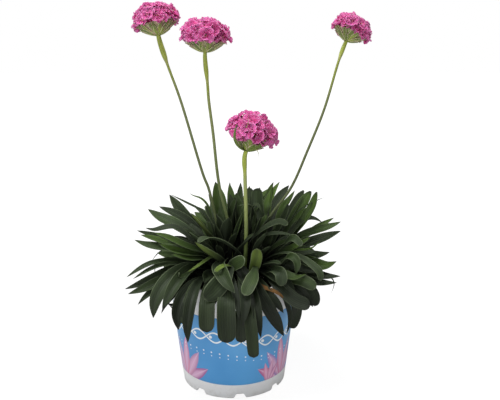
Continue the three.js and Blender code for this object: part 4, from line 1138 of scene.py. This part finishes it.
def addBracts(flower, number, material):
    place, _, carry = headFrame(flower)
    draw = drawer(flower["seed"] + 60)
    gather = Gatherer()
    shares = np.linspace(0, 1, 12)
    radius, height, _, _ = bowlAt(flower, shares)
    cup = [(0.01, 0.4), *zip(radius - 0.3, height + 0.3), (14.5, flower["bowl"][0] + 0.6)]
    cup += [(8, 5.2), (0.01, 4.6)]
    sides = bract["cupSides"]
    gather.add(lathe(cup, sides) @ carry.T + place, ringFaces(len(cup), sides),
               along=0.3, across=0.86, tone=0.6)
    s = np.linspace(0, 1, bract["rows"])[:, None]
    t = np.linspace(-1, 1, bract["columns"])[None, :]
    for layer, (count, start, end, width, off, flare) in enumerate(bract["whorls"]):
        for i in range(count):
            middle = 360 / count * (i + 0.4 * layer) + 14 * (next(draw) - 0.5)
            last = end * between(0.78, 1.08, next(draw))
            radius, height, outward, upward = bowlAt(flower, between(start, last, s))
            half = width / 2 * between(0.85, 1.15, next(draw)) * profileAt(bract["outline"], s)
            turn = np.radians(middle) + t * half / radius + 0.25 * (next(draw) - 0.5) * s**2
            lift = off + 0.3 * (1 - t**2) + (flare + 0.9 * next(draw)) * s**4
            skins = []
            for depth in (0, bract["thick"]):
                away = lift - depth
                out = radius + away * outward
                skins.append(np.stack([out * np.cos(turn), out * np.sin(turn),
                                       np.broadcast_to(height - away * upward, turn.shape)], -1))
            size = turn.shape
            gather.add(np.concatenate(skins) @ carry.T + place, sheetFaces(*size), tone=next(draw),
                       along=overSheet(s, size), across=overSheet(t, size))
    for given in flower["longBracts"]:
        addLongBract(gather, flower, *given)
    for (turnA, outA, upA), (turnB, outB, upB) in flower["threads"]:
        first = heading(turnA, 0) * outA + (0, 0, upA)
        last = heading(turnB, 0) * outB + (0, 0, upB)
        bent = (first + last) / 2 + (0.8, -0.6, 0.7)
        path = smoothPath([first, bent, last], 14) @ carry.T + place
        addTube(gather, path, np.linspace(*bract["thread"], len(path)), 6, across=0.7, tone=0.8)
    gather.makePiece(f"bract_cup_{number}", material, "bract", [f"bracts_{number}"])


def addLongBract(gather, flower, bearing, length, width, away):
    place, _, carry = headFrame(flower)
    spread = [(3, 0), (11, 2), (20, 6), (27.5, 12), (30, 19), (29, 12.5 + length * 0.55)]
    path = smoothPath(between(np.array(bract["close"]), np.array(spread), away), 28)
    path = path[lengths(path) <= length + 8]
    s = spans(path)[:, None]
    slope = unit(np.gradient(path, axis=0))
    t = np.linspace(-1, 1, bract["columns"])[None, :]
    half = width / 2 * profileAt(bract["longOutline"], s)
    turn = np.radians(bearing) + t * half / path[:, :1]
    skins = []
    for depth in (0.9, 0.35):
        rise = depth + 0.4 * (1 - t**2)
        out = path[:, :1] + rise * slope[:, 1:]
        up = path[:, 1:] - rise * slope[:, :1]
        skins.append(np.stack([out * np.cos(turn), out * np.sin(turn), up], -1))
    size = turn.shape
    gather.add(np.concatenate(skins) @ carry.T + place, sheetFaces(*size), tone=0.1,
               along=overSheet(s, size) * 0.85, across=overSheet(t * 0.6, size))


petal = {
    "rows": 9, "columns": 7, "length": 8.8, "width": 7.4, "thick": 0.2, "throat": 0.8,
    "outline": [(0, 0.2), (0.25, 0.32), (0.5, 0.66), (0.75, 1), (0.9, 0.96), (1, 0.62)],
    "steep": 82, "open": (-12, 27), "flare": 1.8, "cup": 0.3, "ruffle": 0.5, "notch": 0.6,
    "sizes": (0.8, 1.02), "rimLift": 48, "anther": 0.27,
}


def petalSkins(draw, size, openness):
    v = np.linspace(0, 1, petal["rows"])[:, None]
    t = np.linspace(-1, 1, petal["columns"])[None, :]
    curl = 50 * (next(draw) - 0.5)
    slope = between(petal["steep"], openness, smooth(v * petal["flare"]))
    slope = np.radians(slope + curl * np.clip(v - 0.55, 0, 1) * 2)
    step = petal["length"] / (petal["rows"] - 1)
    out = petal["throat"] + np.cumsum(np.cos(slope), 0) * step - np.cos(slope[:1]) * step
    up = np.cumsum(np.sin(slope), 0) * step - np.sin(slope[:1]) * step
    half = petal["width"] / 2 * profileAt(petal["outline"], v)
    phase = 6.3 * next(draw)
    ripple = np.sin(between(4, 6.5, next(draw)) * t + phase)
    bend = petal["cup"] * half * t**2 + petal["ruffle"] * v**1.5 * ripple
    shorten = petal["notch"] * (1 - np.abs(t) ** 1.5) * v**5 + 0.7 * np.abs(t) ** 4 * v**4
    skins = []
    for side in (0.5, -0.5):
        off = bend + side * petal["thick"]
        x = out - np.sin(slope) * off - np.cos(slope) * shorten
        z = up + np.cos(slope) * off - np.sin(slope) * shorten
        skins.append(np.stack([x, half * t + 0 * x, z], -1) * size)
    return np.concatenate(skins), v, t


def basis(normal, spin):
    side = unit(np.cross(normal, (0, 1, 0) if abs(normal[1]) < 0.8 else (1, 0, 0)))
    other = np.cross(normal, side)
    return np.stack([side * math.cos(spin) + other * math.sin(spin),
                     other * math.cos(spin) - side * math.sin(spin), normal], -1)


def addFloret(gather, eyes, centre, normal, size, draw, carry, place):
    spin, tone = 6.3 * next(draw), next(draw)
    openness = between(*petal["open"], next(draw))
    frameTurn = basis(normal, spin)
    for i in range(5):
        turn = math.radians(72 * i + 12 * (next(draw) - 0.5))
        c, s = math.cos(turn), math.sin(turn)
        spun = np.array([[c, -s, 0], [s, c, 0], [0, 0, 1]])
        hang = max(0, -(frameTurn @ spun)[2, 0]) * max(0, 1 - normal[2] / 0.5)
        lifted = openness + 22 * (next(draw) - 0.5) + petal["rimLift"] * hang
        skins, v, t = petalSkins(draw, size * between(0.9, 1.1, next(draw)), lifted)
        points = skins @ spun.T @ frameTurn.T + centre
        shape = (petal["rows"], petal["columns"])
        gather.add(points @ carry.T + place, sheetFaces(*shape), tone=tone,
                   along=overSheet(v, shape), across=overSheet(t, shape))
    root = centre * (0.5, 0.5, 0) + (0, 0, 5.4)
    neck = centre - normal * 1.6 * size
    tube = smoothPath([root, (root + neck) / 2 - (0, 0, 0.4), neck, centre + normal * 1.4 * size], 9)
    radii = np.interp(np.linspace(0, 1, len(tube)), [0, 0.6, 0.9, 1], [0.6, 1.05, 1.4, 1.2]) * size
    addTube(gather, tube @ carry.T + place, radii, 8, tone=tone, calyx=1.0)
    for i in range(5):
        angle = 72 * i + 36
        anther = (heading(angle, 0) * 0.9 + (0, 0, 2.9 + 1.2 * next(draw))) * size
        addLump(eyes, (anther @ frameTurn.T + centre) @ carry.T + place, petal["anther"], draw)


def petalSkin():
    paint = Paint("petal")
    along, across, tone, calyx = (paint.mark(name) for name in ("along", "across", "tone", "calyx"))
    cloud, fine = paint.grain(150, 4, 0.6), paint.grain(900, 3)
    colour = paint.mix(tone, ink("#cf3c80"), ink("#d45a99"))
    colour = paint.mix(cloud.ramp(0.4, 0.7) * 0.4, colour, ink("#cd4d8f"))
    colour = paint.mix(along.ramp(0.6, 1) * 0.4, colour, ink("#da84b3"))
    veins = ((across * 17 + fine).sin() * 0.5 + 0.5) ** 2
    colour = paint.mix(veins * 0.15, colour, ink("#b8387c"))
    colour = paint.mix((1 - along.ramp(0.15, 0.56)) * 0.85, colour, ink("#c42a68"))
    cup = paint.mix(cloud.ramp(0.4, 0.65), ink("#c3c08c"), ink("#e3a3b4"))
    colour = paint.mix(calyx * (1 - along.ramp(0.75, 1)), colour, cup)
    return paint.finish(Base_Color=colour, Roughness=0.6, Specular_IOR_Level=0.2, Subsurface_Weight=0.5,
                        Subsurface_Radius=(1, 0.35, 0.55), Subsurface_Scale=0.004,
                        Normal=paint.bump(veins * 0.5 + fine * 0.5, 0.1))


def antherSkin():
    paint = Paint("anther")
    fine = paint.grain(2600, 2)
    colour = paint.mix(fine.ramp(0.4, 0.6), ink("#efc08a"), ink("#f6e6b4"))
    return paint.finish(Base_Color=colour, Roughness=0.8, Normal=paint.bump(fine, 0.1))


def addFlorets(flower, number, material, antherMaterial):
    place, _, carry = headFrame(flower)
    draw = drawer(flower["seed"] + 20)
    gather, eyes = Gatherer(), Gatherer()
    shares = np.linspace(0, 1, 12)
    core = [(0.01, 5.6), (7, 5.8)]
    coreRise = head["coreTop"] - head["domeCentre"] + 3
    for share in shares:  # the core draws in towards its hem, so that the bracts hide it
        out = head["core"] * (1 - head["coreHem"] * (1 - share) ** 4) * math.cos(1.5 * share - 0.1)
        core.append((out, head["domeCentre"] - 3 + coreRise * math.sin(1.5 * share - 0.1)))
    core += [(0.01, head["coreTop"])]
    sides = head["coreSides"]
    gather.add(lathe(core, sides) @ carry.T + place, ringFaces(len(core), sides), along=0.65, tone=0.6)
    golden = math.pi * (3 - math.sqrt(5))
    for i in range(head["florets"]):
        polar = math.acos(1 - flower["wrap"] * (i + 0.5) / head["florets"])
        turn = i * golden + 0.25 * next(draw)
        out = heading(math.degrees(turn), 90 - math.degrees(polar))
        sunk = 1 - 0.1 * next(draw)
        rise = head["domeHeight"] * max(0, out[2]) + 6 * min(0, out[2])
        centre = np.array([head["dome"] * out[0] * sunk, head["dome"] * out[1] * sunk,
                           head["domeCentre"] - flower["sag"] + rise * sunk])
        wander = np.array([next(draw), next(draw), next(draw)]) - 0.5
        normal = unit(np.array([out[0] / head["dome"], out[1] / head["dome"], out[2] / head["domeHeight"]]))
        normal = unit(normal + 0.5 * wander)
        size = between(*petal["sizes"], next(draw))
        addFloret(gather, eyes, centre - normal * head["sunk"], normal, size, draw, carry, place)
    gather.makePiece(f"floret_dome_{number}", material, "petal", [f"florets_{number}"])
    eyes.makePiece(f"anthers_{number}", antherMaterial, "petal")


stemMaterial, bractMaterial = stemSkin(), bractSkin()
petalMaterial, antherMaterial = petalSkin(), antherSkin()
for flowerNumber, flowerValues in enumerate(flowers, 1):
    addStem(flowerValues, flowerNumber, stemMaterial)
    addBracts(flowerValues, flowerNumber, bractMaterial)
    addFlorets(flowerValues, flowerNumber, petalMaterial, antherMaterial)


# The floor

def addFloor():
    paint = Paint("studio_floor")
    paint.finish(Base_Color=ink(studio["floor"]), Roughness=0.9, Specular_IOR_Level=0.1)
    glow = paint.node("ShaderNodeEmission", None, {"Color": (1, 1, 1), "Strength": studio["floorLight"]})
    out = paint.node("ShaderNodeVectorMath", {"operation": "LENGTH"}, {0: paint.place()}, "Value") / mm
    share = studio["floorGlow"] + (1 - studio["floorGlow"]) * out.ramp(*studio["floorFade"])
    seen = paint.node("ShaderNodeLightPath", output="Is Camera Ray") * share
    chosen = paint.node("ShaderNodeMixShader", None, {0: seen, 2: glow})
    paint.tree.links.new(paint.shader.outputs[0], chosen.socket.node.inputs[1])
    paint.tree.links.new(chosen.socket, paint.tree.nodes["Material Output"].inputs["Surface"])
    turn = turns(studio["floorSides"])
    rim = np.stack([np.cos(turn), np.sin(turn), 0 * turn], -1) * studio["floorRadius"] * mm
    mesh = bpy.data.meshes.new("floor")
    mesh.from_pydata((rim - (0, 0, 0.0001)).tolist(), [], [list(range(len(rim)))])
    mesh.materials.append(paint.material)
    floor = bpy.data.objects.new("floor", mesh)
    bpy.context.scene.collection.objects.link(floor)


addFloor()
print("all pieces made")
